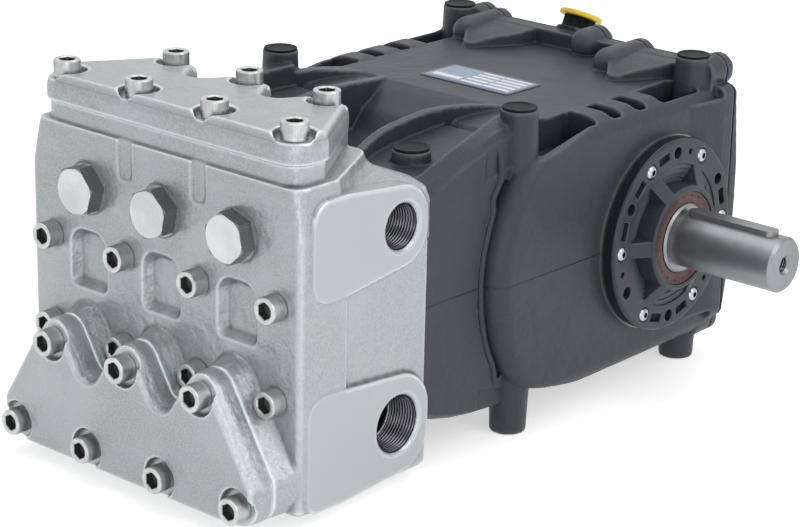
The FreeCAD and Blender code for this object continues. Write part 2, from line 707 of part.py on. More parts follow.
def tray_tools():
    """The two trays on top of the neck, between the ridges and the outer rims."""
    plan = between(RIDGE_LINE, 0.0, TRAY_LINE, 0.0, 190.0, 240.0)
    floor = above([(HEAD_REAR_Y - 1.0, TRAY_FRONT_Z), (TRAY_REAR_Y, TRAY_REAR_Z)], 245.0)
    return both_sides(plan.common(floor))


def ridges():
    """Two raised ridges that run from the head back to the plateau."""
    plan = between(RIDGE_LINE, -RIDGE_W, RIDGE_LINE, 0.0, 190.0, 240.0)
    corners = [(y, z, 60.0) for y, z in RIDGE_TOP]
    corners[0], corners[-1] = RIDGE_TOP[0] + (0,), RIDGE_TOP[-1] + (0,)
    ring = corners + [(RIDGE_TOP[-1][0], 185.0, 0), (RIDGE_TOP[0][0], 185.0, 0)]
    return both_sides(plan.common(slab(ring, "X", -150.0, 150.0)))


def ridge_gaps():
    """Room for the ridges, where the neck itself would rise above them."""
    plan = between(RIDGE_LINE, -RIDGE_W, RIDGE_LINE, 0.0, 190.0, 240.0)
    return both_sides(plan.common(above([(HEAD_REAR_Y - 1.0, RIDGE_GAP_Z), (RIDGE_TOP[-1][0], RIDGE_GAP_Z)], 245.0)))


def shoulder_ribs():
    """Raised ribs inside the front posts, falling to the plateau behind them."""
    plan = between(TRAY_LINE, 0.0, SHOULDER_LINE, 0.0, 195.0, 240.0)
    top = [(-122.0, SHOULDER_RIB_TOP_Z), (-85.0, SHOULDER_RIB_TOP_Z - 1.0), (-51.0, 212.6)]
    ring = [(y, z, 0) for y, z in top] + [(-51.0, 190.0, 0), (-122.0, 190.0, 0)]
    return both_sides(plan.common(slab(ring, "X", -150.0, 150.0)))


def valley_tool():
    """Open valley between the ridges, falling towards the head."""
    plan = between([(y, -x) for y, x in RIDGE_LINE], RIDGE_W, RIDGE_LINE, -RIDGE_W, 160.0, 245.0)
    corners = [(y, z, r) for (y, z), r in zip(VALLEY_FLOOR, (0, 40.0, 14.0, 14.0, 60.0, 0))]
    corners = [(HEAD_REAR_Y - 1.0, corners[0][1], 0)] + corners[1:]
    ring = corners + [(corners[-1][0], 246.0, 0), (corners[0][0], 246.0, 0)]
    return plan.common(slab(ring, "X", -60.0, 60.0))


def tray_bosses():
    """Low round bosses standing in the trays."""
    x, y = TRAY_BOSS
    base = TRAY_BOSS_TOP_Z - 20.0
    return both_sides(rod("Z", (x, y, base), TRAY_BOSS_R + 0.5, TRAY_BOSS_TOP_Z - base, TRAY_BOSS_R))


def rib_tools():
    """Deep pockets between the side ribs, on top and mirrored underneath."""
    inner, outer, half = RIB_POCKET_INNER_X, RIB_POCKET_OUTER_X, 0.5 * RIB_W
    starts = [RIB_FIRST_Y + i * RIB_PITCH + half for i in range(3)]
    spans = [(-FOOT_Y + 6.0, RIB_FIRST_Y - half)] + [(s, s + RIB_PITCH - RIB_W) for s in starts[:2]]
    spans.append((starts[2], FOOT_Y - 10.0))
    tools = []
    for y0, y1 in spans:
        corners = [(inner + 2.0, y0, RIB_POCKET_R), (outer, y0, RIB_POCKET_R), (outer, y1, RIB_POCKET_R),
                   (inner, y1, RIB_POCKET_R)]
        top = SHAFT_Z + CASE_HALF_HEIGHT
        low = SHAFT_Z - CASE_HALF_HEIGHT
        tools += both_sides(slab(corners, "Z", top - RIB_POCKET_DEPTH, top + 20.0))
        tools += both_sides(slab(corners, "Z", low - 20.0, low + RIB_POCKET_DEPTH))
    return tools


def side_ribs():
    """Rounded backs of the side ribs, standing slightly proud of the plateau's edge."""
    bars = []
    half = 0.5 * RIB_W
    w = CASE_HALF_WIDTH
    for i in range(3):
        y = RIB_FIRST_Y + i * RIB_PITCH
        for sign in (1, -1):
            edge = SHAFT_Z + sign * (CASE_HALF_HEIGHT + RIB_BULGE)
            root = SHAFT_Z + sign * (CASE_HALF_HEIGHT - 26.0)
            ring = [(w - 40.0, edge - sign * 2.0, 0), (w - 30.0, edge, 20.0), (w - 9.0, edge - sign * 0.5, 12.0),
                    (w - 0.6, edge - sign * 15.0, 9.0), (w - 2.0, root, 0), (w - 40.0, root, 0)]
            bars += both_sides(slab(ring, "Y", y - half, y + half))
    return bars


def wall_slopes():
    """Cuts that let the side walls fall away in front of the first rib, above and below."""
    y0 = RIB_FIRST_Y - 0.5 * RIB_W + 1.0
    far = -FOOT_Y - 40.0
    drop = RIB_SLOPE * (y0 - far)
    tools = []
    for sign in (1, -1):
        edge = SHAFT_Z + sign * (CASE_HALF_HEIGHT - 0.5)
        ring = [(y0, edge, 0), (far, edge - sign * drop, 0), (far, edge + sign * 20.0, 0), (y0, edge + sign * 20.0, 0)]
        tools += both_sides(slab(ring, "X", RIB_POCKET_OUTER_X - 9.0, CASE_HALF_WIDTH + 5.0))
    return tools


def feet():
    """Drafted feet below and posts above, at the same four places."""
    solids = []
    for sx in (-1, 1):
        for sy in (-1, 1):
            x, y = sx * FOOT_X, sy * FOOT_Y
            solids.append(rod("Z", (x, y, 0.0), FOOT_TOP_R, FOOT_LENGTH, FOOT_ROOT_R))
            solids.append(rod("Z", (x, y, POST_TOP_Z), FOOT_TOP_R, -FOOT_LENGTH, FOOT_ROOT_R))
    return solids


def rear_outline(low_y, high_y):
    """Rear flange or cover plate: wide middle, narrower band above and below, and a lobe at each screw."""
    w, n, r = REAR_HALF_WIDTH, REAR_BAND_HALF_WIDTH, REAR_SIDE_R
    wide = [(-w, SHAFT_Z - REAR_SIDE_FOOT, r), (w, SHAFT_Z - REAR_SIDE_FOOT, r), (w, SHAFT_Z + REAR_SIDE_TOP, r),
            (-w, SHAFT_Z + REAR_SIDE_TOP, r)]
    band = [(-n, SHAFT_Z - REAR_BAND_FOOT, 3.0), (n, SHAFT_Z - REAR_BAND_FOOT, 3.0), (n, SHAFT_Z + REAR_BAND_TOP, 3.0),
            (-n, SHAFT_Z + REAR_BAND_TOP, 3.0)]
    plates = [slab(wide, "Y", low_y, high_y), slab(band, "Y", low_y, high_y)]
    return fused(plates + rear_lobes(low_y, high_y))


def rear_lobes(low_y, high_y):
    """Round lobes along the rear flange's edge between two levels of Y, one of them without a screw."""
    places = screw_places() + [REAR_PLAIN_LOBE]
    return [rod("Y", (x, low_y, SHAFT_Z + rise), REAR_LOBE_R, high_y - low_y) for x, rise in places]


def screw_places():
    """X and height above the shaft of the rear screws."""
    return list(REAR_LOBES_TOP) + [(x, -REAR_LOBE_DROP) for x in REAR_LOBES_LOW]


def half_round_bosses():
    """Screw bosses that run forward from the rear flange over the top, with blunt ball noses."""
    bosses = []
    for (x, rise), start in zip((REAR_PLAIN_LOBE,) + REAR_LOBES_TOP[1:3], REAR_BOSS_STARTS):
        z, end = SHAFT_Z + rise, CASE_REAR_Y - 1.0
        half = [(start, z, 0), (start, z + REAR_LOBE_R, REAR_LOBE_R - 1.0), (end, z + REAR_LOBE_R, 0), (end, z, 0)]
        bosses.append(Part.Face(outline(half, "X", x)).revolve(V(x, 0, z), V(0, 1, 0), 360.0))
    return bosses


def flares():
    """Side walls' flare out to the rear flange, and bridges from the corner posts and feet to its lobes."""
    w, y1 = CASE_HALF_WIDTH, CASE_REAR_Y - REAR_FLANGE_W + 1.0
    plan = [(w - 2.0, REAR_FLARE_START_Y, 0), (REAR_HALF_WIDTH, y1, 0), (w - 2.0, y1, 0)]
    solids = [slab(plan, "Z", SHAFT_Z - REAR_SIDE_FOOT + REAR_SIDE_R, SHAFT_Z + REAR_SIDE_TOP - REAR_SIDE_R)]
    x, r = REAR_CORNER_LOBE_X, REAR_LOBE_R
    top, low = SHAFT_Z + REAR_LOBES_TOP[-1][1], SHAFT_Z - REAR_LOBE_DROP
    solids.append(rod("Y", (x, FOOT_Y, top), r, y1 - FOOT_Y))
    solids.append(box(x - r, x + r - 1.0, FOOT_Y, y1, top - 20.0, top))
    solids.append(rod("Y", (x, FOOT_Y, low), r, y1 - FOOT_Y))
    solids.append(box(x - r, x + r - 1.0, FOOT_Y, y1, low, low + 12.0))
    return both_sides(fused(solids))


def wedges():
    """Broad ramps that rise from the plateau to the rear flange inside each rear post."""
    plan = slab(WEDGE_PLAN, "Z", 195.0, 250.0)
    top = SHAFT_Z + CASE_HALF_HEIGHT
    line = [(y, top + rise, r) for y, rise, r in WEDGE_PROFILE]
    ring = [(line[0][0], top - 10.0, 0)] + line + [(line[-1][0], top - 10.0, 0)]
    return both_sides(plan.common(slab(ring, "X", 0.0, 150.0)))


def groove_tools():
    """Upright groove between the neck's side walls and the housing's bowed front."""
    x, reach = CASE_GROOVE_X, 30.0
    outer = FRONT_ARC_R + CASE_GROOVE
    centre = (x, FRONT_ARC_Y, SHAFT_Z)
    ring = rod("X", centre, outer, reach).cut(rod("X", (x - 1.0, FRONT_ARC_Y, SHAFT_Z), FRONT_ARC_R, reach + 2.0))
    h = CASE_GROOVE_HALF_HEIGHT
    window = box(x, x + reach, FRONT_ARC_Y - outer - 1.0, FRONT_ARC_Y - 20.0, SHAFT_Z - h, SHAFT_Z + h)
    return both_sides(ring.common(window))


def crankcase():
    """Closed crankcase: housing, neck with its trays, ribs, posts, feet and rear flange."""
    flange = rear_outline(CASE_REAR_Y - REAR_FLANGE_W, CASE_REAR_Y)
    shell = cut(fused([housing(), neck()]), groove_tools() + tray_tools() + ridge_gaps() + [valley_tool()])
    shell = fused([shell] + ridges() + shoulder_ribs() + side_ribs())
    shell = cut(shell, rib_tools())
    solid = fused([cut(shell, wall_slopes()), flange] + tray_bosses() + flares() + wedges() + half_round_bosses()
                  + feet())
    tools = []
    for side in (-1, 1):
        face = (side * CASE_HALF_WIDTH, SHAFT_Y, SHAFT_Z)
        tools.append(rod("X", face, SHIM_R + COVER_ROOM, side * 10.0))
        tools.append(rod("X", face, FLANGE_SPIGOT_R + CASE_BORE_FIT, -side * (FLANGE_SPIGOT + 0.5)))
        for i in range(FLANGE_SCREWS):
            y, z = ring_point(60.0 * i)
            tools.append(rod("X", (side * CASE_HALF_WIDTH, y, z), SMALL_SCREW_R + SMALL_SCREW_CLEARANCE, -side * 12.0))
    for sx in (-1, 1):
        for sy in (-1, 1):
            tools.append(rod("Z", (sx * FOOT_X, sy * FOOT_Y, 0.0), FOOT_HOLE_R, FOOT_HOLE_DEPTH))
    for x, rise in screw_places():
        tools.append(rod("Y", (x, CASE_REAR_Y, SHAFT_Z + rise), REAR_SCREW_R + SMALL_SCREW_CLEARANCE, -14.0))
    return cut(solid, tools)


def ring_point(degrees):
    """Y and Z of a hole on the bearing cover's bolt circle."""
    r = 0.5 * FLANGE_PCD
    t = math.radians(degrees)
    return SHAFT_Y + r * math.cos(t), SHAFT_Z + r * math.sin(t)


def dish_spokes(side):
    """Hub and six spokes in the bearing cover's dish; on the drive side they rise to the seal."""
    face = V(side * FLANGE_FACE_X, SHAFT_Y, SHAFT_Z)
    proud = HUB_PROUD if side > 0 else 0.0
    hub = rod("X", (face.x - side * DISH_DEEP, SHAFT_Y, SHAFT_Z), HUB_R, side * (DISH_DEEP + proud - HUB_EDGE))
    lip = rod("X", (face.x + side * (proud - HUB_EDGE), SHAFT_Y, SHAFT_Z), HUB_R, side * HUB_EDGE, HUB_R - HUB_EDGE)
    keep = [hub, lip]
    inner, outer, deep = SHOULDER_R + 2.0, DISH_R + 1.0, -DISH_DEEP - 0.5
    ring = [(inner, deep, 0), (outer, deep, 0), (outer, -0.6, 0), (HUB_R, proud - 2.0, 0), (inner, proud - 2.0, 0)]
    for i in range(FLANGE_SCREWS):
        bar = slab(ring, "Y", -0.5 * SPOKE_W, 0.5 * SPOKE_W)
        bar.rotate(V(0, 0, 0), V(0, 0, 1), 60.0 * i + 30.0)
        bar.rotate(V(0, 0, 0), V(0, 1, 0), side * 90.0)
        bar.translate(face)
        keep.append(bar)
    return keep


def rim_pockets(side):
    """Small cast pockets in the bearing cover's rim, between its screws and tapped holes."""
    tools = []
    r, half, long = 0.5 * FLANGE_PCD, 0.5 * FLANGE_POCKET_W, 0.5 * FLANGE_POCKET_LENGTH
    for angle in FLANGE_POCKETS:
        bar = box(r - half, r + half, -long, long, -FLANGE_POCKET_DEPTH, 1.0)
        bar.rotate(V(0, 0, 0), V(0, 0, 1), angle)
        bar.rotate(V(0, 0, 0), V(1, 1, 1), 120.0)
        if side < 0:
            bar = mirrored(bar)
        bar.translate(V(side * FLANGE_FACE_X, SHAFT_Y, SHAFT_Z))
        tools.append(bar)
    return tools


def bearing_cover(side):
    """Round bearing cover with a stepped dish, six spokes and a ring of screws."""
    back = CASE_HALF_WIDTH + SHIM_THICK
    centre = (side * back, SHAFT_Y, SHAFT_Z)
    thick = FLANGE_FACE_X - back
    disc = rod("X", centre, FLANGE_R, side * (thick - FLANGE_EDGE))
    edge = rod("X", (side * (FLANGE_FACE_X - FLANGE_EDGE), SHAFT_Y, SHAFT_Z), FLANGE_R, side * FLANGE_EDGE,
               FLANGE_R - FLANGE_EDGE)
    spigot = rod("X", centre, FLANGE_SPIGOT_R, -side * (FLANGE_SPIGOT + SHIM_THICK))
    face = (side * FLANGE_FACE_X, SHAFT_Y, SHAFT_Z)
    dish = fused([rod("X", face, DISH_R, -side * DISH_DEPTH), rod("X", face, DISH_DEEP_R, -side * DISH_DEEP)])
    solid = fused([fused([disc, edge, spigot]).cut(dish)] + dish_spokes(side))
    tools = rim_pockets(side)
    for i in range(3):
        y, z = ring_point(75.0 + 120.0 * i)
        tools.append(rod("X", (side * FLANGE_FACE_X, y, z), PILOT_HOLE_R, -side * PILOT_HOLE_DEPTH))
    for i in range(FLANGE_SCREWS):
        y, z = ring_point(60.0 * i)
        tools.append(rod("X", (side * FLANGE_FACE_X, y, z), SMALL_SCREW_R + SMALL_SCREW_CLEARANCE, -side * 20.0))
        tools.append(rod("X", (side * FLANGE_FACE_X, y, z), SMALL_SCREW_HEAD_R + 0.6, -side * SMALL_SCREW_SINK))
        y, z = ring_point(60.0 * i + 30.0)
        tools.append(rod("X", (side * FLANGE_FACE_X, y, z), FLANGE_TAP_R, -side * FLANGE_TAP_DEPTH))
    if side > 0:
        hub_face = (FLANGE_FACE_X + HUB_PROUD, SHAFT_Y, SHAFT_Z)
        tools.append(rod("X", hub_face, SEAL_R, -SEAL_DEPTH))
        tools.append(rod("X", hub_face, SHOULDER_R + 1.0, -60.0))
    return cut(solid, tools)


def bearing_shims(side):
    """Thin ring between a bearing cover and the crankcase."""
    centre = (side * CASE_HALF_WIDTH, SHAFT_Y, SHAFT_Z)
    ring = rod("X", centre, SHIM_R, side * SHIM_THICK)
    start = side * (CASE_HALF_WIDTH - 1.0)
    tools = [rod("X", (start, SHAFT_Y, SHAFT_Z), FLANGE_SPIGOT_R + CASE_BORE_FIT, side * (SHIM_THICK + 2.0))]
    for i in range(FLANGE_SCREWS):
        y, z = ring_point(60.0 * i)
        tools.append(rod("X", (start, y, z), SMALL_SCREW_R + SMALL_SCREW_CLEARANCE, side * (SHIM_THICK + 2.0)))
    return cut(ring, tools)


def bearing_screws(side):
    """Button-head screws of a bearing cover."""
    screws = []
    seat_x = FLANGE_FACE_X - SMALL_SCREW_SINK
    for i in range(FLANGE_SCREWS):
        y, z = ring_point(60.0 * i)
        seat = (side * seat_x, y, z)
        head = rod("X", seat, SMALL_SCREW_HEAD_R, side * SMALL_SCREW_HEAD_H, SMALL_SCREW_HEAD_R - 1.2)
        shank = rod("X", seat, SMALL_SCREW_R, -side * SMALL_SCREW_GRIP)
        start = seat_x + SMALL_SCREW_HEAD_H - SMALL_SCREW_SOCKET
        recess = hexagon("X", (side * start, y, z), SMALL_SCREW_SOCKET_AF, side * 3.0)
        screws.append(fused([head, shank]).cut(recess))
    return Part.makeCompound(screws)


def shaft_seal():
    """Radial shaft seal in the drive-side cover."""
    face = FLANGE_FACE_X + HUB_PROUD
    ring = rod("X", (face - SEAL_SINK, SHAFT_Y, SHAFT_Z), SEAL_R - SEAL_FIT, -(SEAL_DEPTH - SEAL_SINK))
    return ring.cut(rod("X", (face, SHAFT_Y, SHAFT_Z), SHOULDER_R + RUNNING_FIT, -SEAL_DEPTH - 1.0))


def drive_shaft():
    """Stepped drive shaft with a chamfered end, a centre hole and a key seat."""
    c = (SHAFT_INNER_X, SHAFT_Y, SHAFT_Z)
    big = rod("X", c, SHOULDER_R, SHOULDER_X - SHOULDER_EDGE - SHAFT_INNER_X)
    lip = rod("X", (SHOULDER_X - SHOULDER_EDGE, SHAFT_Y, SHAFT_Z), SHOULDER_R, SHOULDER_EDGE,
              SHOULDER_R - SHOULDER_EDGE)
    small = rod("X", c, SHAFT_R, SHAFT_END_X - SHAFT_CHAMFER - SHAFT_INNER_X)
    tip = rod("X", (SHAFT_END_X - SHAFT_CHAMFER, SHAFT_Y, SHAFT_Z), SHAFT_R, SHAFT_CHAMFER, SHAFT_R - SHAFT_CHAMFER)
    solid = fused([big, lip, small, tip])
    end = (SHAFT_END_X, SHAFT_Y, SHAFT_Z)
    hole = rod("X", end, SHAFT_HOLE_R, -SHAFT_HOLE_DEPTH)
    mouth = rod("X", end, SHAFT_HOLE_MOUTH_R, -(SHAFT_HOLE_MOUTH_R - SHAFT_HOLE_R), SHAFT_HOLE_R)
    return cut(solid, [hole, mouth, key_shape(KEY_FIT)])


def key_shape(spare):
    """Round-ended key block on top of the shaft, grown by spare for its seat."""
    half = 0.5 * KEY_W + spare
    x0, x1 = KEY_START_X - spare, KEY_END_X + spare
    corners = [(x0, SHAFT_Y - half, half - 0.01), (x1, SHAFT_Y - half, half - 0.01),
               (x1, SHAFT_Y + half, half - 0.01), (x0, SHAFT_Y + half, half - 0.01)]
    low = SHAFT_Z + SHAFT_R - KEY_SEAT
    return slab(corners, "Z", low - spare, low + KEY_H)


def rear_gasket():
    """Gasket between the crankcase and the rear cover."""
    tools = []
    for x, rise in screw_places():
        tools.append(rod("Y", (x, CASE_REAR_Y - 1.0, SHAFT_Z + rise), REAR_SCREW_R + SMALL_SCREW_CLEARANCE, 4.0))
    return cut(rear_outline(CASE_REAR_Y, CASE_REAR_Y + GASKET_THICK), tools)


def filler_axis():
    """Direction of the tilted oil filler."""
    t = math.radians(FILLER_TILT)
    return V(0, math.sin(t), math.cos(t))


def filler_rod(radius, start, length):
    """Cylinder on the oil filler's axis, from a distance along it."""
    base = V(FILLER_X, FILLER_Y, FILLER_TOP_Z).add(filler_axis().multiply(start))
    return Part.makeCylinder(radius, length, base, filler_axis())


def rear_cover():
    """Rear cover: bowed back with a raised panel, a lobe at each screw and the oil filler's boss."""
    start = CASE_REAR_Y + GASKET_THICK
    line = [(y, SHAFT_Z + rise, r) for rise, y, r in REAR_COVER_SIDE]
    side = slab([(start, line[0][1], 0)] + line + [(start, line[-1][1], 0)], "X", -REAR_HALF_WIDTH - 5.0,
                REAR_HALF_WIDTH + 5.0)
    body = rear_outline(start, start + 20.0).common(side)
    boss = filler_rod(FILLER_BOSS_R, -FILLER_BOSS_LENGTH, FILLER_BOSS_LENGTH)
    keep = box(-REAR_HALF_WIDTH, REAR_HALF_WIDTH, start, start + 60.0, 0.0, 300.0)
    solid = fused([body, rear_panel(), boss.common(keep)] + rear_lobes(start, REAR_LOBE_END_Y))
    tools = []
    for x, rise in screw_places():
        z = SHAFT_Z + rise
        tools.append(rod("Y", (x, REAR_LOBE_END_Y, z), REAR_SCREW_SPOT_R, 40.0))
        tools.append(rod("Y", (x, start - 1.0, z), REAR_SCREW_R + SMALL_SCREW_CLEARANCE, 40.0))
    return cut(solid, tools)


def rear_panel():
    """Drafted panel that stands off the middle of the rear cover."""
    levels = []
    stages = ((CASE_REAR_Y + 2.0, 0.0), (REAR_PANEL_Y - 2.0, REAR_PANEL_DRAFT),
              (REAR_PANEL_Y, REAR_PANEL_DRAFT + 4.0))
    for y, draft in stages:
        w, top, foot = REAR_PANEL_HALF_WIDTH - draft, REAR_PANEL_TOP - draft, REAR_PANEL_FOOT - draft
        corners = [(-w, SHAFT_Z - foot, 16.0), (w, SHAFT_Z - foot, 16.0), (w, SHAFT_Z + top, 16.0),
                   (-w, SHAFT_Z + top, 16.0)]
        levels.append((y, corners))
    return loft(levels, "Y")


def rear_screws():
    """Socket-head screws of the rear cover."""
    screws = []
    for x, rise in screw_places():
        seat = (x, REAR_LOBE_END_Y, SHAFT_Z + rise)
        head = rod("Y", seat, REAR_SCREW_HEAD_R, REAR_SCREW_HEAD_H)
        socket = hexagon("Y", (x, REAR_LOBE_END_Y + REAR_SCREW_HEAD_H - 4.0, seat[2]), 6.0, 5.0)
        screws.append(fused([head, rod("Y", seat, REAR_SCREW_R, -REAR_SCREW_GRIP)]).cut(socket))
    return Part.makeCompound(screws)


def post_caps():
    """Black plugs on the four posts."""
    caps = []
    for sx in (-1, 1):
        for sy in (-1, 1):
            caps.append(rod("Z", (sx * FOOT_X, sy * FOOT_Y, POST_TOP_Z), FOOT_TOP_R - CAP_FIT, CAP_H))
    return Part.makeCompound(caps)


def tray_caps():
    """Black plugs on the two bosses in the trays."""
    x, y = TRAY_BOSS
    cap = rod("Z", (x, y, TRAY_BOSS_TOP_Z), TRAY_BOSS_R - CAP_FIT, CAP_H)
    return Part.makeCompound(both_sides(cap))


def oil_cap_body():
    """Black neck of the oil filler cap."""
    return filler_rod(FILLER_NECK_R, 0.0, FILLER_NECK)


def oil_cap_disc():
    """Yellow disc on the oil filler cap."""
    return filler_rod(FILLER_DISC_R, FILLER_NECK, FILLER_DISC)


def nameplate():
    """Plain rating plate on the crankcase's plateau."""
    a, b = PLATE_HALF
    y, r = PLATE_CENTRE_Y, PLATE_CORNER_R
    corners = [(-a, y - b, r), (a, y - b, r), (a, y + b, r), (-a, y + b, r)]
    top = SHAFT_Z + CASE_HALF_HEIGHT
    return slab(corners, "Z", top, top + PLATE_THICK)


def screws_at(axis, seats, sign):
    """Cap screws on a list of seats."""
    return Part.makeCompound([cap_screw(axis, s, sign) for s in seats])


def build():
    """Every node by name."""
    delivery_front, delivery_rear = delivery_seats()
    suction_low, suction_high = suction_seats()
    bolts_up, bolts_low = head_bolt_seats()
    return {
        "fluid_end_block": fluid_end_block(),
        "delivery_cover": delivery_cover(),
        "suction_cover": suction_cover(),
        "delivery_screws_front": screws_at("Z", delivery_front, 1),
        "delivery_screws_rear": screws_at("Z", delivery_rear, 1),
        "suction_screws_lower": screws_at("Y", suction_low, -1),
        "suction_screws_upper": screws_at("Y", suction_high, -1),
        "head_bolts_upper": screws_at("Y", bolts_up, -1),
        "head_bolts_lower": screws_at("Y", bolts_low, -1),
        "valve_plugs": valve_plugs(),
        "plug_washers": plug_washers(),
        "crankcase": crankcase(),
        "rear_gasket": rear_gasket(),
        "rear_cover": rear_cover(),
        "rear_screws": rear_screws(),
        "drive_bearing_cover": bearing_cover(1),
        "drive_cover_shims": bearing_shims(1),
        "drive_cover_screws": bearing_screws(1),
        "blind_bearing_cover": bearing_cover(-1),
        "blind_cover_shims": bearing_shims(-1),
        "blind_cover_screws": bearing_screws(-1),
        "shaft_seal": shaft_seal(),
        "drive_shaft": drive_shaft(),
        "shaft_key": key_shape(0.0),
        "post_caps": post_caps(),
        "tray_caps": tray_caps(),
        "oil_cap_body": oil_cap_body(),
        "oil_cap_disc": oil_cap_disc(),
        "nameplate": nameplate(),
    }


def main():
    """Write one STEP file for each node."""
    os.makedirs("parts", exist_ok=True)
    for name, shape in build().items():
        shape.exportStep("parts/" + name + ".step")
        print(name, "valid", shape.isValid(), "solids", len(shape.Solids), "volume", round(shape.Volume / 1000.0, 1))


main()
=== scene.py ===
"""Dressed scene of the horizontal triplex plunger pump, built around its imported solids.

All lengths are metres in the solids' own frame: the origin is the centre of the four feet
on the floor, +X leaves the drive end, +Y runs from the fluid end to the power end, +Z is up.
"""
import logging
import math
from contextlib import contextmanager
from dataclasses import dataclass
from enum import Enum
from functools import reduce
from typing import Iterator, Optional, Sequence, Union

import bmesh
import bpy
import numpy as np
from mathutils import Matrix, Vector


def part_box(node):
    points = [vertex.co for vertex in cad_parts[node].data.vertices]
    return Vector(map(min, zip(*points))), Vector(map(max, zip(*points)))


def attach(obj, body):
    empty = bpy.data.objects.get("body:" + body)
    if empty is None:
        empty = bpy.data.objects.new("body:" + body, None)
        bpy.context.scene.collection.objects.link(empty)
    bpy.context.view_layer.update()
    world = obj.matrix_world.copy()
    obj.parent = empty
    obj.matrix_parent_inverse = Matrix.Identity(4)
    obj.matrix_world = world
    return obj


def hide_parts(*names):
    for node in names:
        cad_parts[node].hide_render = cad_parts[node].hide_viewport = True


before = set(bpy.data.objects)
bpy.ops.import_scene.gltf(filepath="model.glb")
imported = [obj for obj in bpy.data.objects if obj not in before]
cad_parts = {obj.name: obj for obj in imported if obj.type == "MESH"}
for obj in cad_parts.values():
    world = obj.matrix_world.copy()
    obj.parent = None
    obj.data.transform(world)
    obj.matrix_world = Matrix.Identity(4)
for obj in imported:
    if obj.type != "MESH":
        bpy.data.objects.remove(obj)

LOG = logging.getLogger("plunger_pump")
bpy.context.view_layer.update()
Number = Union[int, float]
Value = Union["Wire", Number]
Mesh = bpy.types.Mesh
Array = np.ndarray
Pair = tuple[float, float]
Triple = tuple[float, float, float]
Colour = Triple
Rows = Sequence[tuple[Union[float, Array], float]]
MM = 0.001
# Point value that paints a highlight on rounded edges and shade in hollows; sockets get painted shade.
PAINTED_LIGHT = "wear"
SOCKET_SHADE = -0.75
SOCKET_REACH = 0.59
PLUG_PITCH = 68.5 * MM
SHAFT_Y, SHAFT_Z = 42.15 * MM, 115.75 * MM
COVER_X = 142.5 * MM
COVER_SCREWS_R = 61.25 * MM
SIDES = ((1.0, "drive"), (-1.0, "blind"))
UP, FRONT, REAR, RIGHT = Vector((0, 0, 1)), Vector((0, -1, 0)), Vector((0, 1, 0)), Vector((1, 0, 0))


class Body(str, Enum):
    """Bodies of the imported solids."""

    PUMP = "pump"
    SHAFT = "drive_shaft"


class Slot(str, Enum):
    """Material slots of the record."""

    CAST = "cast_silver"
    SCREW = "screw_steel"
    TURNED = "turned_steel"
    PAINT = "case_paint"
    GASKET = "gasket_black"
    SHIM = "shim_steel"
    ZINC = "zinc_steel"
    SEAL = "seal_rubber"
    GROUND = "ground_steel"
    BLACK = "black_plastic"
    YELLOW = "yellow_plastic"
    PLATE = "plate_print"


class Special(str, Enum):
    """Finishes of single pieces, in place of their slot's own."""

    # Dark steel of the threads: painted shade inside their holes.
    THREAD = "thread_steel"
    COVER = "cover_paint"
    # Near-black paint of the cover's tapped threads: painted shade in the holes.
    SHADED_PAINT_THREAD = "painted_thread"


# Shader graphs


class Wire:
    """One socket of a shader graph, on which arithmetic adds Math nodes."""

    def __init__(self, graph: "Graph", socket: bpy.types.NodeSocket) -> None:
        """Keep the socket and the graph it belongs to."""
        self.graph = graph
        self.socket = socket

    def reckon(self, operation: str, *others: Value) -> "Wire":
        """Result of a Math node on this wire and the others."""
        inputs = dict(enumerate((self, *others)))
        return self.graph.wire("ShaderNodeMath", 0, {"operation": operation}, inputs)

    def __add__(self, other: Value) -> "Wire":
        """Sum."""
        return self.reckon("ADD", other)

    def __sub__(self, other: Value) -> "Wire":
        """Difference."""
        return self.reckon("SUBTRACT", other)

    def __rsub__(self, other: Number) -> "Wire":
        """A number less this wire."""
        return self.reckon("MULTIPLY_ADD", -1.0, other)

    def __mul__(self, other: Value) -> "Wire":
        """Product."""
        return self.reckon("MULTIPLY", other)

    def __gt__(self, other: Value) -> "Wire":
        """One where this wire is larger."""
        return self.reckon("GREATER_THAN", other)

    def __lt__(self, other: Value) -> "Wire":
        """One where this wire is smaller."""
        return self.reckon("LESS_THAN", other)

    def __abs__(self) -> "Wire":
        """Size without its sign."""
        return self.reckon("ABSOLUTE")

    def sine(self) -> "Wire":
        """Sine of the wire in radians."""
        return self.reckon("SINE")

    def larger(self, other: Value) -> "Wire":
        """The larger of two."""
        return self.reckon("MAXIMUM", other)

    def length(self, other: "Wire") -> "Wire":
        """Length of the vector of two wires."""
        return (self * self + other * other).reckon("SQRT")

    def nearest(self, step: float) -> "Wire":
        """Distance to the nearest whole multiple of a step, with its sign."""
        return self - (self * (1.0 / step)).reckon("ROUND") * step

    def near(self, level: float, reach: float) -> "Wire":
        """One within reach of a level."""
        return abs(self - level) < reach

    def between(self, low: float, high: float) -> "Wire":
        """One between two levels."""
        return (self > low) * (self < high)

    def ramp(self, low: float, high: float) -> "Wire":
        """Smooth rise from 0 at low to 1 at high."""
        inputs = {"Value": self, "From Min": low, "From Max": high}
        return self.graph.wire("ShaderNodeMapRange", 0, {"interpolation_type": "SMOOTHSTEP"}, inputs)


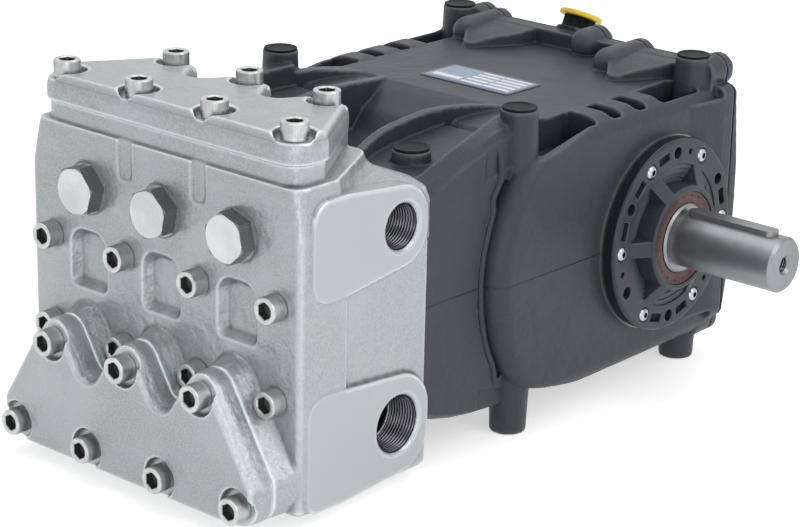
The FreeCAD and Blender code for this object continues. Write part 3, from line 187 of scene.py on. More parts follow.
class Graph:
    """Node graph of a material or a world."""

    MIX_FIRST, MIX_SECOND, MIX_RESULT = 6, 7, 2

    def __init__(self, owner: Union[bpy.types.Material, bpy.types.World],
                 shader: str = "BSDF_PRINCIPLED") -> None:
        """Give the owner nodes and find its shader."""
        owner.use_nodes = True
        self.owner = owner
        self.tree = owner.node_tree
        self.shader = next(n for n in self.tree.nodes if n.type == shader)

    def node(self, kind: str, settings: Optional[dict] = None,
             inputs: Optional[dict] = None) -> bpy.types.Node:
        """Add any node.

        Args:
            kind: The node's type.
            settings: Properties that are set first.
            inputs: Values or wires by socket name or number.

        Returns:
            The new node.
        """
        made = self.tree.nodes.new(kind)
        for key, value in (settings or {}).items():
            setattr(made, key, value)
        for key, value in (inputs or {}).items():
            self.plug(made.inputs[key], value)
        return made

    def wire(self, kind: str, output: Union[str, int], settings: Optional[dict] = None,
             inputs: Optional[dict] = None) -> Wire:
        """Add any node and take one of its outputs."""
        return Wire(self, self.node(kind, settings, inputs).outputs[output])

    def plug(self, socket: bpy.types.NodeSocket, value: Union[Value, Sequence[float]]) -> None:
        """Set a socket from a wire, a number or a colour."""
        if isinstance(value, Wire):
            self.tree.links.new(value.socket, socket)
        elif isinstance(value, (int, float)):
            socket.default_value = value
        else:
            size = len(socket.default_value)
            socket.default_value = tuple(value) + (1.0,) * (size - len(value))

    def feed(self, values: dict[str, Union[Value, Sequence[float]]]) -> None:
        """Set the shader's sockets by name."""
        for key, value in values.items():
            self.plug(self.shader.inputs[key], value)

    def place(self) -> Wire:
        """Position on the piece, which is the position in the solids' frame."""
        return self.wire("ShaderNodeTexCoord", "Object")

    def axes(self) -> tuple[Wire, ...]:
        """Position as three numbers."""
        node = self.node("ShaderNodeSeparateXYZ", inputs={0: self.place()})
        return tuple(Wire(self, output) for output in node.outputs)

    def from_shaft(self) -> Wire:
        """Distance from the shaft's axis."""
        _, y, z = self.axes()
        return (y - SHAFT_Y).length(z - SHAFT_Z)

    def noise(self, scale: float, detail: float = 2.0, where: Optional[Wire] = None) -> Wire:
        """Cloudy noise around one half, with its grain in features per metre."""
        inputs = {"Vector": where or self.place(), "Scale": scale, "Detail": detail}
        return self.wire("ShaderNodeTexNoise", 0, inputs=inputs)

    def wear(self) -> Wire:
        """Painted-light value kept on a piece's points: above 0 paints a highlight on rounded edges, below 0
        paints shade in hollows, else 0.
        """
        return self.wire("ShaderNodeAttribute", "Fac", {"attribute_name": PAINTED_LIGHT})

    def blend(self, share: Value, first: Union[Wire, Colour], second: Union[Wire, Colour]) -> Wire:
        """Mix two colours by a share."""
        inputs = {0: share, self.MIX_FIRST: first, self.MIX_SECOND: second}
        return self.wire("ShaderNodeMix", self.MIX_RESULT, {"data_type": "RGBA"}, inputs)

    def relief(self, height: Wire, depth: float, under: Optional[Wire] = None) -> Wire:
        """Turn a height into a normal.

        Args:
            height: Height from 0 to 1.
            depth: Metres that a height of 1 stands for.
            under: Another relief that this one lies on.

        Returns:
            The normal.
        """
        inputs = {"Height": height, "Distance": depth}
        if under is not None:
            inputs["Normal"] = under
        return self.wire("ShaderNodeBump", 0, inputs=inputs)

    def seen(self, *rays: str) -> Wire:
        """One for rays of the kinds named."""
        paths = self.node("ShaderNodeLightPath")
        return reduce(Wire.larger, [Wire(self, paths.outputs[f"Is {ray} Ray"]) for ray in rays])


def tint(colour: Colour, factor: float) -> Colour:
    """A colour made lighter or darker by a factor."""
    return tuple(min(1.0, c * factor) for c in colour)


@dataclass(frozen=True)
class Finish:
    """Plain finish with a fine grain, soft clouds of tone, a painted highlight on rounded edges and painted
    shade in hollows.
    """

    name: str
    colour: Colour
    rough: float
    metal: float = 0.0
    grain: float = 900.0
    grain_depth: float = 0.03 * MM
    clouds: float = 40.0
    cloud_share: float = 0.10
    specular: float = 0.5
    rough_spread: float = 0.12
    # Painted light from a piece's point values: a highlight on rounded edges, shade in hollows.
    painted_light_start: float = 0.05
    painted_edge_highlight: float = 1.3
    painted_hollow_shade: float = 0.12

    def colour_wire(self, graph: Graph) -> Wire:
        """Base colour with clouds of tone."""
        dark, light = tint(self.colour, 1.0 - self.cloud_share), tint(self.colour, 1.0 + self.cloud_share)
        return graph.blend(graph.noise(self.clouds, 4.0).ramp(0.3, 0.7), dark, light)

    def painted_light_wire(self, graph: Graph) -> Wire:
        """Colour with a painted highlight on rounded edges and painted shade in hollows."""
        proud, deep = (way.ramp(self.painted_light_start, 1.0) for way in (graph.wear(), graph.wear() * -1.0))
        highlighted = graph.blend(proud, self.colour_wire(graph), tint(self.colour, self.painted_edge_highlight))
        return graph.blend(deep, highlighted, tint(self.colour, self.painted_hollow_shade))

    def rough_wire(self, graph: Graph) -> Wire:
        """Roughness that varies a little with the clouds."""
        return self.around_rough(graph.noise(self.clouds * 3.0, 3.0))

    def around_rough(self, cloud: Wire) -> Wire:
        """Roughness that swings with a cloud around one half."""
        return cloud * self.rough_spread + (self.rough - 0.5 * self.rough_spread)

    def relief_wire(self, graph: Graph) -> Wire:
        """Normal with the fine grain."""
        return graph.relief(graph.noise(self.grain, 3.0), self.grain_depth)

    def make(self) -> bpy.types.Material:
        """Build the material."""
        graph = Graph(bpy.data.materials.new(self.name))
        graph.feed({"Base Color": self.painted_light_wire(graph), "Roughness": self.rough_wire(graph),
                    "Metallic": self.metal, "Normal": self.relief_wire(graph),
                    "Specular IOR Level": self.specular})
        return graph.owner


@dataclass(frozen=True)
class CastFinish(Finish):
    """Skin of a casting: sand grain everywhere but on its machined planes, which are smoother.

    planes lists (axis number, level, reach) of the machined faces, and bores lists
    (Y, Z, radius) of the bores that run along X, inside which shade is painted.
    """

    planes: tuple[tuple[int, float, float], ...] = ()
    bores: tuple[Triple, ...] = ()
    bore_reach: float = 121.5 * MM
    # Painted shade inside the bores.
    painted_bore_shade: float = 0.06
    sand: float = 520.0
    sand_depth: float = 0.12 * MM
    speck_light: float = 1.25
    speck_share: float = 0.7
    wave: float = 110.0
    wave_depth: float = 1.2 * MM
    # Machined planes are lighter: partly their smoother finish, partly painted light.
    machined_finish_and_light: float = 1.1

    def machined(self, graph: Graph) -> Wire:
        """One on the machined planes."""
        axes = graph.axes()
        masks = [axes[axis].near(level, reach) for axis, level, reach in self.planes]
        return reduce(Wire.larger, masks, axes[0] * 0.0)

    def inside(self, graph: Graph) -> Wire:
        """One inside the bores."""
        x, y, z = graph.axes()
        masks = [(y - middle).length(z - height) < radius for middle, height, radius in self.bores]
        return reduce(Wire.larger, masks, x * 0.0) * (abs(x) < self.bore_reach)

    def colour_wire(self, graph: Graph) -> Wire:
        """Clouds of tone with sandy specks, lighter where machined (finish and painted light), and painted
        shade in the bores.
        """
        speck = graph.noise(self.sand * 1.4, 3.0).ramp(0.36, 0.64) * self.speck_share
        grainy = graph.blend(speck, super().colour_wire(graph), tint(self.colour, self.speck_light))
        skin = graph.blend(self.machined(graph), grainy, tint(self.colour, self.machined_finish_and_light))
        return graph.blend(self.inside(graph), skin, tint(self.colour, self.painted_bore_shade))

    def relief_wire(self, graph: Graph) -> Wire:
        """Sand grain on long waves, both on the cast skin alone."""
        skin = 1.0 - self.machined(graph)
        height = (graph.noise(self.sand, 3.0) * 0.7 + graph.noise(self.sand * 3.0, 2.0) * 0.3) * skin
        waves = graph.relief(graph.noise(self.wave, 2.0) * skin, self.wave_depth)
        return graph.relief(height, self.sand_depth, under=waves)


@dataclass(frozen=True)
class CoverFinish(CastFinish):
    """Paint of the bearing covers, whose turned rim is darker and glossier than their faces."""

    rim_r: float = 70.3 * MM
    face_x: float = 142.2 * MM
    rim_dark: float = 0.35
    rim_rough: float = 0.22

    def rim(self, graph: Graph) -> Wire:
        """One on the rim."""
        return (graph.from_shaft() > self.rim_r) * (abs(graph.axes()[0]) < self.face_x)

    def colour_wire(self, graph: Graph) -> Wire:
        """Cast paint, darker on the rim."""
        return graph.blend(self.rim(graph), super().colour_wire(graph), tint(self.colour, self.rim_dark))

    def rough_wire(self, graph: Graph) -> Wire:
        """Roughness, lower on the rim."""
        return super().rough_wire(graph) + self.rim(graph) * (self.rim_rough - self.rough)


@dataclass(frozen=True)
class TurnedFinish(Finish):
    """Bright turned steel whose faces carry rings around the piece's own axes.

    The rings' height is the sine of the distance from the nearest axis.  The axes run along
    one direction and stand at a pitch across another, or there is one axis where pitch is 0.
    """

    rough_spread: float = 0.2
    direction: int = 1
    centre: Pair = (0.0, 0.0)
    pitch: float = 0.0
    ring: float = 0.9 * MM
    ring_depth: float = 0.012 * MM
    wobble: float = 3.0
    wobble_scale: float = 60.0
    along: bool = False
    # Painted shade on the flanks beyond the level of the turned face.
    face_level: float = 1.0
    painted_flank_shade: float = 0.35

    def colour_wire(self, graph: Graph) -> Wire:
        """Clouds of tone, with painted shade on the flanks beyond the level of the turned face."""
        beyond = graph.axes()[self.direction] > self.face_level
        return graph.blend(beyond, super().colour_wire(graph), tint(self.colour, self.painted_flank_shade))

    def way(self, graph: Graph) -> Wire:
        """Distance from the nearest axis, or along it where the rings follow the piece's length."""
        axes = list(graph.axes())
        length = axes.pop(self.direction)
        if self.along:
            return length
        first, second = (axis - middle for axis, middle in zip(axes, self.centre))
        return (first.nearest(self.pitch) if self.pitch else first).length(second)

    def relief_wire(self, graph: Graph) -> Wire:
        """Fine rings, uneven as a tool leaves them."""
        phase = self.way(graph) * (2.0 * math.pi / self.ring) + graph.noise(self.wobble_scale) * self.wobble
        return graph.relief(phase.sine() * 0.5 + 0.5, self.ring_depth, under=super().relief_wire(graph))

    def rough_wire(self, graph: Graph) -> Wire:
        """Roughness in uneven rings."""
        where = graph.wire("ShaderNodeCombineXYZ", 0, inputs={0: self.way(graph)})
        return self.around_rough(graph.noise(self.grain, 2.0, where))


@dataclass(frozen=True)
class PrintFinish(Finish):
    """Rating plate: a pale field with plain bars where its lines of data would stand.

    Each stretch is a pair of places from the plate's middle.
    """

    centre_y: float = -7.5 * MM
    row_pitch: float = 6.8 * MM
    row_sine: float = 0.1
    data_x: Pair = (-8.0 * MM, 36.0 * MM)
    data_y: Pair = (-13.5 * MM, 16.0 * MM)
    break_x: Pair = (11.2 * MM, 12.8 * MM)
    title_x: Pair = (-36.0 * MM, -11.0 * MM)
    title_y: Pair = (-12.0 * MM, -6.0 * MM)
    band_x: float = 37.0 * MM
    band_top: float = -15.0 * MM
    border: Pair = (38.5 * MM, 17.8 * MM)
    ink: Colour = (0.10, 0.19, 0.42)
    paper: Colour = (0.80, 0.83, 0.86)
    frame_ink: Colour = (0.05, 0.06, 0.08)

    def colour_wire(self, graph: Graph) -> Wire:
        """Blue-grey field, a dark band below and rows of white bars on the right."""
        x, y, _ = graph.axes()
        y = y - self.centre_y
        rows = (y * (2.0 * math.pi / self.row_pitch)).sine() > self.row_sine
        data = x.between(*self.data_x) * y.between(*self.data_y) * rows * (1.0 - x.between(*self.break_x))
        title = x.between(*self.title_x) * y.between(*self.title_y)
        band = (y < self.band_top) * (abs(x) < self.band_x)
        border = (abs(x) > self.border[0]).larger(abs(y) > self.border[1])
        colour = graph.blend(data.larger(title), self.colour, self.paper)
        return graph.blend(border, graph.blend(band, colour, self.ink), self.frame_ink)


# Each finish's edge and hollow factors paint a highlight on rounded edges and shade in hollows.
CASE_PAINT = {"colour": (0.032, 0.037, 0.046), "rough": 0.45, "specular": 0.35, "clouds": 16.0,
              "sand": 420.0, "sand_depth": 0.08 * MM, "painted_edge_highlight": 2.6, "painted_hollow_shade": 0.4}
FINISHES: dict[Union[Slot, Special], Finish] = {
    Slot.CAST: CastFinish(
        "cast_silver", (0.365, 0.397, 0.402), 0.36, metal=0.6, clouds=24.0, sand_depth=0.32 * MM,
        painted_edge_highlight=1.9, painted_hollow_shade=0.42, machined_finish_and_light=1.2,
        planes=((0, 124.0 * MM, 0.3 * MM), (0, -124.0 * MM, 0.3 * MM), (2, 252.0 * MM, 0.2 * MM),
                (1, -357.7 * MM, 0.2 * MM), (2, 238.0 * MM, 0.1 * MM)),
        bores=((-233.5 * MM, 182.0 * MM, 15.5 * MM), (-233.5 * MM, 46.5 * MM, 19.8 * MM))),
    Slot.SCREW: Finish("screw_steel", (0.55, 0.57, 0.57), 0.36, metal=0.9, grain=1500.0, clouds=220.0),
    Slot.TURNED: TurnedFinish("turned_steel", (0.55, 0.58, 0.58), 0.28, metal=0.95, centre=(0.0, 185.8 * MM),
                              pitch=PLUG_PITCH, face_level=-338.8 * MM),
    Slot.PAINT: CastFinish("case_paint", wave_depth=0.6 * MM, **CASE_PAINT),
    Slot.GASKET: Finish("gasket_black", (0.012, 0.012, 0.013), 0.7),
    Slot.SHIM: Finish("shim_steel", (0.35, 0.35, 0.35), 0.4, metal=0.9),
    Slot.ZINC: Finish("zinc_steel", (0.47, 0.49, 0.51), 0.27, metal=1.0, clouds=300.0),
    Slot.SEAL: Finish("seal_rubber", (0.11, 0.052, 0.050), 0.55, clouds=180.0),
    Slot.GROUND: TurnedFinish("ground_steel", (0.26, 0.27, 0.28), 0.38, metal=1.0, direction=0,
                              ring=0.7 * MM, ring_depth=0.002 * MM, along=True),
    Slot.BLACK: Finish("black_plastic", (0.012, 0.014, 0.017), 0.5, clouds=120.0, specular=0.08),
    Slot.YELLOW: Finish("yellow_plastic", (0.95, 0.66, 0.07), 0.35),
    Slot.PLATE: PrintFinish("plate_print", (0.27, 0.34, 0.46), 0.35),
    # Near-black threads: painted shade inside their holes.
    Special.THREAD: Finish("thread_steel", (0.085, 0.085, 0.095), 0.26, metal=1.0, painted_edge_highlight=2.2,
                           painted_hollow_shade=0.02),
    Special.COVER: CoverFinish("cover_paint", wave_depth=0.3 * MM, **CASE_PAINT),
    Special.SHADED_PAINT_THREAD: Finish("painted_thread", (0.008, 0.008, 0.010), 0.6, specular=0.2),
}


def placed(name: str, data: bpy.types.ID, where: Optional[Matrix] = None) -> bpy.types.Object:
    """New object in the scene, at its data's own place or at a given one."""
    made = bpy.data.objects.new(name, data)
    if where is not None:
        made.matrix_world = where
    bpy.context.scene.collection.objects.link(made)
    return made


class Workshop:
    """Materials, made once, and the meshes that are put into the scene."""

    def __init__(self) -> None:
        """Make every finish."""
        self.materials = {key: finish.make() for key, finish in FINISHES.items()}

    def dress(self, slot: Slot, *nodes: str) -> None:
        """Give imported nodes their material."""
        for node in nodes:
            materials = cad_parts[node].data.materials
            materials.clear()
            materials.append(self.materials[slot])

    def piece(self, mesh: Mesh, slot: Slot, replaces: Optional[str] = None, body: Body = Body.PUMP,
              finish: Optional[Special] = None) -> None:
        """Put a mesh into the scene as a piece of the same name.

        Args:
            mesh: The mesh, in its place.
            slot: Material slot it takes its finish from.
            replaces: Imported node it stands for.
            body: Body it rides on.
            finish: Finish in place of the slot's own.
        """
        made = placed(mesh.name, mesh)
        mesh.materials.clear()
        mesh.materials.append(self.materials[finish or slot])
        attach(made, body.value)
        if replaces:
            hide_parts(replaces)
        LOG.info("%s: %d faces", made.name, len(mesh.polygons))


# Meshes


@contextmanager
def edited(mesh: Mesh) -> Iterator[bmesh.types.BMesh]:
    """A mesh's BMesh, which is written back to it at the end."""
    work = bmesh.new()
    work.from_mesh(mesh)
    yield work
    work.to_mesh(mesh)
    work.free()


def closed(mesh: Mesh, smooth: bool = True, merge: float = 0.001 * MM) -> Mesh:
    """Merge double points, turn the faces outwards and set the shading."""
    with edited(mesh) as work:
        bmesh.ops.remove_doubles(work, verts=work.verts, dist=merge)
        bmesh.ops.dissolve_degenerate(work, edges=work.edges, dist=merge)
        bmesh.ops.recalc_face_normals(work, faces=work.faces)
    mesh.polygons.foreach_set("use_smooth", np.full(len(mesh.polygons), smooth))
    mesh.update()
    return mesh


def capped(mesh: Mesh) -> Mesh:
    """Close the two open ends of a swept piece."""
    with edited(mesh) as work:
        bmesh.ops.holes_fill(work, edges=[e for e in work.edges if e.is_boundary])
        bmesh.ops.recalc_face_normals(work, faces=work.faces)
    return mesh


def creased(mesh: Mesh, degrees: float = 32.0) -> Mesh:
    """Keep edges sharper than an angle crisp."""
    with edited(mesh) as work:
        for edge in work.edges:
            if len(edge.link_faces) == 2 and edge.calc_face_angle(0.0) > math.radians(degrees):
                edge.smooth = False
    return mesh


def points_of(mesh: Mesh) -> Array:
    """Points of a mesh as an array of (points, 3)."""
    points = np.empty((len(mesh.vertices), 3))
    mesh.vertices.foreach_get("co", points.reshape(-1))
    return points


def keep_painted_light(mesh: Mesh, values: Array) -> None:
    """Keep one painted-light value on each point of a mesh: above 0 paints a highlight, below 0 paints shade.
    """
    layer = mesh.attributes.new(PAINTED_LIGHT, "FLOAT", "POINT")
    layer.data.foreach_set("value", values.astype(np.float32))


def worked(mesh: Mesh, kind: str, **settings: Union[str, Number]) -> Mesh:
    """Mesh after one modifier of a kind with its settings; the mesh given is removed."""
    made = placed("work", mesh)
    modifier = made.modifiers.new(kind.lower(), kind)
    for key, value in settings.items():
        setattr(modifier, key, value)
    depsgraph = bpy.context.evaluated_depsgraph_get()
    result = bpy.data.meshes.new_from_object(made.evaluated_get(depsgraph))
    bpy.data.objects.remove(made)
    bpy.data.meshes.remove(mesh)
    return result


def grid_mesh(name: str, points: Array, wrap_u: bool = True, wrap_v: bool = False,
              smooth: bool = True) -> Mesh:
    """Mesh over grids of points, with a quad between each point and its next in u and v.

    Args:
        name: Name of the mesh.
        points: Array of (copies, rows v, columns u, 3), or without the first axis for one copy.
        wrap_u: Whether the last column joins the first.
        wrap_v: Whether the last row joins the first.
        smooth: Whether faces are shaded smooth.

    Returns:
        The mesh, with double points merged and its faces pointing outwards.
    """
    grids = points.reshape((-1,) + points.shape[-3:])
    copies, rows, columns, _ = grids.shape
    v, u = np.meshgrid(np.arange(rows if wrap_v else rows - 1), np.arange(columns if wrap_u else columns - 1),
                       indexing="ij")
    v, u = v.ravel(), u.ravel()
    next_v, next_u = (v + 1) % rows, (u + 1) % columns
    corners = (v, u), (v, next_u), (next_v, next_u), (next_v, u)
    quads = np.stack([row * columns + column for row, column in corners], 1)
    offsets = (np.arange(copies) * rows * columns)[:, None, None]
    mesh = bpy.data.meshes.new(name)
    mesh.from_pydata(grids.reshape(-1, 3), [], (quads[None] + offsets).reshape(-1, 4).tolist())
    return closed(mesh, smooth)


def turn_of(count: int) -> Array:
    """Angles at even steps round a full turn, from 0."""
    return np.arange(count) * (2.0 * math.pi / count)


def hexagon(flats: float, columns: int) -> Array:
    """Radius of a hexagon at even steps round it, from its width across flats."""
    half = math.pi / 6.0
    return 0.5 * flats / np.cos((turn_of(columns) + half) % (2.0 * half) - half)


def lathed(name: str, axis: Vector, centres: Array, rows: Rows, columns: int,
           ring: bool = False) -> Mesh:
    """Profile turned round an axis at several centres.

    A point is centre + axis * height + radius * (across * cos t + up * sin t).

    Args:
        name: Name of the mesh.
        axis: Unit direction of the heights.
        centres: Array of (copies, 3).
        rows: Radius and height of each row; a radius is one number, or one per column.
        columns: Steps round the axis.
        ring: Whether the last row joins the first.

    Returns:
        The mesh.
    """
    across = (axis.cross(UP) if abs(axis.z) < 0.5 else axis.orthogonal()).normalized()
    up = axis.cross(across)
    t = turn_of(columns)
    circle = np.cos(t)[:, None] * np.array(across) + np.sin(t)[:, None] * np.array(up)
    shape = np.stack([np.stack([np.broadcast_to(r, columns), np.full(columns, z)], 1) for r, z in rows])
    rings = shape[..., :1] * circle[None] + shape[..., 1:] * np.array(axis)
    return grid_mesh(name, centres[:, None, None, :] + rings[None], wrap_v=ring)


def from_axes(mesh: Mesh, axis: Vector, centres: Array) -> tuple[Array, Array]:
    """Distance of each point from the nearest of several parallel axes, and its height along it.

    Args:
        mesh: The mesh whose points are measured.
        axis: Unit direction of the axes.
        centres: Array of (axes, 3) with the points of height 0.

    Returns:
        Distances and heights.
    """
    away = points_of(mesh)[:, None] - centres[None]
    height = away @ np.array(axis)
    across = np.linalg.norm(away - height[..., None] * np.array(axis), axis=2)
    pick = np.arange(len(away)), across.argmin(1)
    return across[pick], height[pick]


def round_shaft(x: float, radius: float, count: int, first: float = 0.0) -> Array:
    """Points evenly spaced on a circle about the shaft's axis, from a first angle in degrees."""
    t = turn_of(count) + math.radians(first)
    return np.stack([np.full(count, x), SHAFT_Y + radius * np.cos(t), SHAFT_Z + radius * np.sin(t)], 1)


def on_shaft(x: float) -> Array:
    """One centre on the shaft's axis."""
    return np.array([(x, SHAFT_Y, SHAFT_Z)])


def in_mm(rows: Sequence[Pair]) -> Rows:
    """Rows of a profile that is written in millimetres."""
    return [(radius * MM, height * MM) for radius, height in rows]


def smooth_path(knots: Array, steps: int = 6) -> Array:
    """Catmull-Rom curve through knots: each slope is half the way between a knot's neighbours.

    Args:
        knots: Array of (knots, dimensions).
        steps: Points per run.

    Returns:
        Array of (points, dimensions).
    """
    padded = np.concatenate([[2.0 * knots[0] - knots[1]], knots, [2.0 * knots[-1] - knots[-2]]])
    before, start, end, after = (padded[i:len(padded) - 3 + i, None, :] for i in range(4))
    t = np.linspace(0.0, 1.0, steps, endpoint=False)[None, :, None]
    curve = 0.5 * (2.0 * start + (end - before) * t
                   + (2.0 * before - 5.0 * start + 4.0 * end - after) * t ** 2
                   + (3.0 * start - before - 3.0 * end + after) * t ** 3)
    return np.concatenate([curve.reshape(-1, knots.shape[1]), knots[-1:]])


def swept_bead(path: Array, outward: Array, width: float, height: float, sunk: float,
               steps: int = 9) -> Array:
    """Low half-round bead along a path on a wall.

    A point is path + across * width * cos(a) / 2 + outward * height * sin(a), with a from 0 to
    pi and across at right angles to the path and to outward, and a flat foot closes it below.

    Args:
        path: Array of (points, 3).
        outward: Array of (points, 3) with the wall's directions.
        width: Width of the bead.
        height: How far it stands proud.
        sunk: How deep its foot lies in the wall.
        steps: Points across the bead.

    Returns:
        Array of (points, steps + 2, 3), closed in its second axis.
    """
    across = np.cross(outward, np.gradient(path, axis=0))
    across *= 0.5 * width / np.linalg.norm(across, axis=1, keepdims=True)
    a = np.linspace(0.0, math.pi, steps)[None, :, None]
    bead = path[:, None] + np.cos(a) * across[:, None] + height * np.sin(a) * outward[:, None]
    foot = np.stack([path - across, path + across], 1) - outward[:, None] * sunk
    return np.concatenate([bead, foot], 1)


# Repeated parts


@dataclass
class SocketScrews:
    """Socket-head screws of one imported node, remade with knurled sides and a countersunk socket.

    The head's radius, at each height, is carried round its axis.  On the knurl it swings
    between two radii from tooth to tooth, and in the socket it is a hexagon's.
    """

    node: str
    axis: Vector
    count: int
    head_r: float = 9.0 * MM
    head_h: float = 12.0 * MM
    flats: float = 10.0 * MM
    socket_depth: float = 6.0 * MM
    edge: float = 0.8 * MM
    teeth: int = 60
    tooth: float = 0.22 * MM
    collar: float = 2.2 * MM
    painted_groove_shade: float = -0.45
    slot: Slot = Slot.SCREW
    seats: Optional[Array] = None

    def centres(self) -> Array:
        """Middle of each head's seat: as given, or evenly spaced across the node's box."""
        if self.seats is not None:
            return self.seats
        low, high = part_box(self.node)
        xs = np.linspace(low.x + self.head_r, high.x - self.head_r, self.count)
        top = high.z if self.axis.z > 0 else 0.5 * (low.z + high.z)
        y = low.y if self.axis.y < 0 else 0.5 * (low.y + high.y)
        faces = np.stack([xs, np.full(self.count, y), np.full(self.count, top)], 1)
        return faces - np.array(self.axis) * self.head_h

    def rows(self) -> Rows:
        """Radius and height, row by row, from the seat's middle to the socket's floor."""
        columns = 2 * self.teeth
        knurl = np.where(np.arange(columns) % 2 == 0, self.head_r, self.head_r - self.tooth)
        smooth, top, edge = self.head_r - 0.5 * self.tooth, self.head_h, self.edge
        flat, mouth, floor = hexagon(self.flats, columns), 0.6 * self.flats, top - self.socket_depth
        foot, run_in, run_out, sink, point = 0.5 * MM, 0.3 * MM, 0.4 * MM, 0.8 * MM, 1.0 * MM
        return [(0.0, 0.0), (smooth - 1.2 * foot, 0.0), (smooth, foot), (smooth, self.collar),
                (knurl, self.collar + run_in), (knurl, top - edge - run_out), (smooth, top - edge),
                (smooth - 0.45 * edge, top - 0.18 * edge), (smooth - edge, top), (mouth + run_in, top),
                (mouth, top - 0.15 * sink), (flat, top - sink), (flat, floor), (0.0, floor - point)]

    def build(self, shop: Workshop) -> None:
        """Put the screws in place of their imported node."""
        centres = self.centres()
        mesh = lathed(self.node + "_detailed", self.axis, centres, self.rows(), 2 * self.teeth)
        reach, height = from_axes(mesh, self.axis, centres)
        # Painted shade in the socket and in the knurl's grooves.
        inside = (reach < SOCKET_REACH * self.flats) & (height < self.head_h - 0.5 * MM)
        groove = (abs(reach - self.head_r + self.tooth) < 0.1 * self.tooth) & (height > self.collar)
        keep_painted_light(mesh, np.where(inside, SOCKET_SHADE, np.where(groove, self.painted_groove_shade, 0.0)))
        shop.piece(creased(mesh), self.slot, self.node)


@dataclass
class InnerThread:
    """Screw thread inside a bore: a ring whose inner wall follows a helix.

    The wall's radius is bore_r - 2 gap - depth * tooth(x / pitch - t / (2 pi)), where tooth is
    a triangle wave with a flat crest and x is the depth into the bore.
    """

    name: str
    mouth: Sequence[float]
    inward: Vector
    bore_r: float
    pitch: float
    length: float
    depth: float
    slot: Slot
    body: Body = Body.PUMP
    # Its finish is dark: painted shade inside the bore.
    finish: Special = Special.THREAD
    columns: int = 72
    steps: int = 8
    gap: float = 0.01 * MM
    crest: float = 1.35
    run_out: float = 0.8

    def build(self, shop: Workshop) -> None:
        """Put the thread into its bore."""
        x = np.linspace(0.0, self.length, int(self.length / self.pitch * self.steps))
        phase = (x[:, None] / self.pitch - turn_of(self.columns)[None] / (2.0 * math.pi)) % 1.0
        tooth = np.clip(self.crest * (1.0 - 2.0 * abs(phase - 0.5)), 0.0, 1.0)
        fade = np.clip(np.minimum(x, self.length - x)[:, None] / (self.run_out * self.pitch), 0.0, 1.0)
        inner = self.bore_r - 2.0 * self.gap - self.depth * tooth * fade
        outer = self.bore_r - self.gap
        rows = [*zip(inner, x), (outer, self.length), (outer, 0.0)]
        centre = np.array([self.mouth])
        mesh = lathed(self.name, self.inward, centre, rows, self.columns, ring=True)
        reach, _ = from_axes(mesh, self.inward, centre)
        # Painted highlight on the crests and painted shade in the roots.
        keep_painted_light(mesh, np.clip(2.0 * (self.bore_r - reach) / self.depth - 1.0, -1.0, 1.0))
        shop.piece(mesh, self.slot, body=self.body, finish=self.finish)


@dataclass(frozen=True)
class SoftCasting:
    """Copy of a packed casting whose edges and corners are rounded as a foundry leaves them.

    The copy is cut into even cells, and each point then moves half way to the mean of its
    neighbours, pass after pass.  Over n passes an edge is rounded to about voxel * sqrt(n).
    Points inside a firm cylinder, given by axis number, centre, radius and reach, move less.
    """

    node: str
    slot: Slot
    voxel: float
    passes: int
    triangles: int
    firm: tuple[tuple[int, Triple, float, float], ...] = ()
    finish: Optional[Special] = None
    firm_share: float = 0.12
    merge: float = 0.002 * MM
    painted_light_share: float = 0.6
    painted_light_passes: int = 10
    painted_light_depth: float = 0.45 * MM

    def cells(self) -> Mesh:
        """Copy of the node's mesh, merged and cut into even cells."""
        mesh = closed(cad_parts[self.node].data.copy(), merge=self.merge)
        return worked(mesh, "REMESH", mode="VOXEL", voxel_size=self.voxel, adaptivity=0.0)

    def shares(self, points: Array) -> Array:
        """How far each point moves in a pass, as a share of the way to its neighbours' mean."""
        share = np.full(len(points), 0.5)
        for axis, centre, radius, reach in self.firm:
            away = points - np.array(centre)
            across = np.linalg.norm(np.delete(away, axis, 1), axis=1)
            share[(abs(away[:, axis]) < reach) & (across < radius)] *= self.firm_share
        return share

    def relax(self, mesh: Mesh) -> None:
        """Give a mesh its passes, and then its painted light.

        The painted light is how far a point stands out from a much smoother copy of the mesh, along its
        normal, as a share of the painted-light depth: edges get a painted highlight, hollows painted shade.
        """
        points = points_of(mesh)
        ends = np.empty((len(mesh.edges), 2), dtype=np.int64)
        mesh.edges.foreach_get("vertices", ends.reshape(-1))
        start, end = np.concatenate([ends, ends[:, ::-1]]).T
        count = np.maximum(np.bincount(start, minlength=len(points)), 1)

        def moved(places: Array, share: Array, passes: int) -> Array:
            """Places after some passes."""
            for _ in range(passes):
                sums = [np.bincount(start, places[end, axis], len(places)) for axis in range(3)]
                places = places + share[:, None] * (np.stack([total / count for total in sums], 1) - places)
            return places

        points = moved(points, self.shares(points), self.passes)
        mesh.vertices.foreach_set("co", points.reshape(-1))
        mesh.update()
        normals = np.empty((len(points), 3))
        mesh.vertex_normals.foreach_get("vector", normals.reshape(-1))
        smoother = moved(points, np.full(len(points), self.painted_light_share), self.painted_light_passes)
        proud = ((points - smoother) * normals).sum(1) / self.painted_light_depth
        keep_painted_light(mesh, np.clip(proud, -1.0, 1.0))

    def build(self, shop: Workshop) -> None:
        """Put the rounded copy in place of its node, which keeps its finish below."""
        shop.dress(self.slot, self.node)
        mesh = self.cells()
        self.relax(mesh)
        ratio = min(1.0, self.triangles / (2.0 * len(mesh.polygons)))
        mesh = worked(mesh, "DECIMATE", decimate_type="COLLAPSE", ratio=ratio)
        mesh.polygons.foreach_set("use_smooth", np.ones(len(mesh.polygons), dtype=bool))
        mesh = worked(mesh, "WEIGHTED_NORMAL", mode="FACE_AREA", weight=50)
        mesh.name = self.node + "_soft"
        shop.piece(mesh, self.slot, self.node, finish=self.finish)


# Sub-assemblies


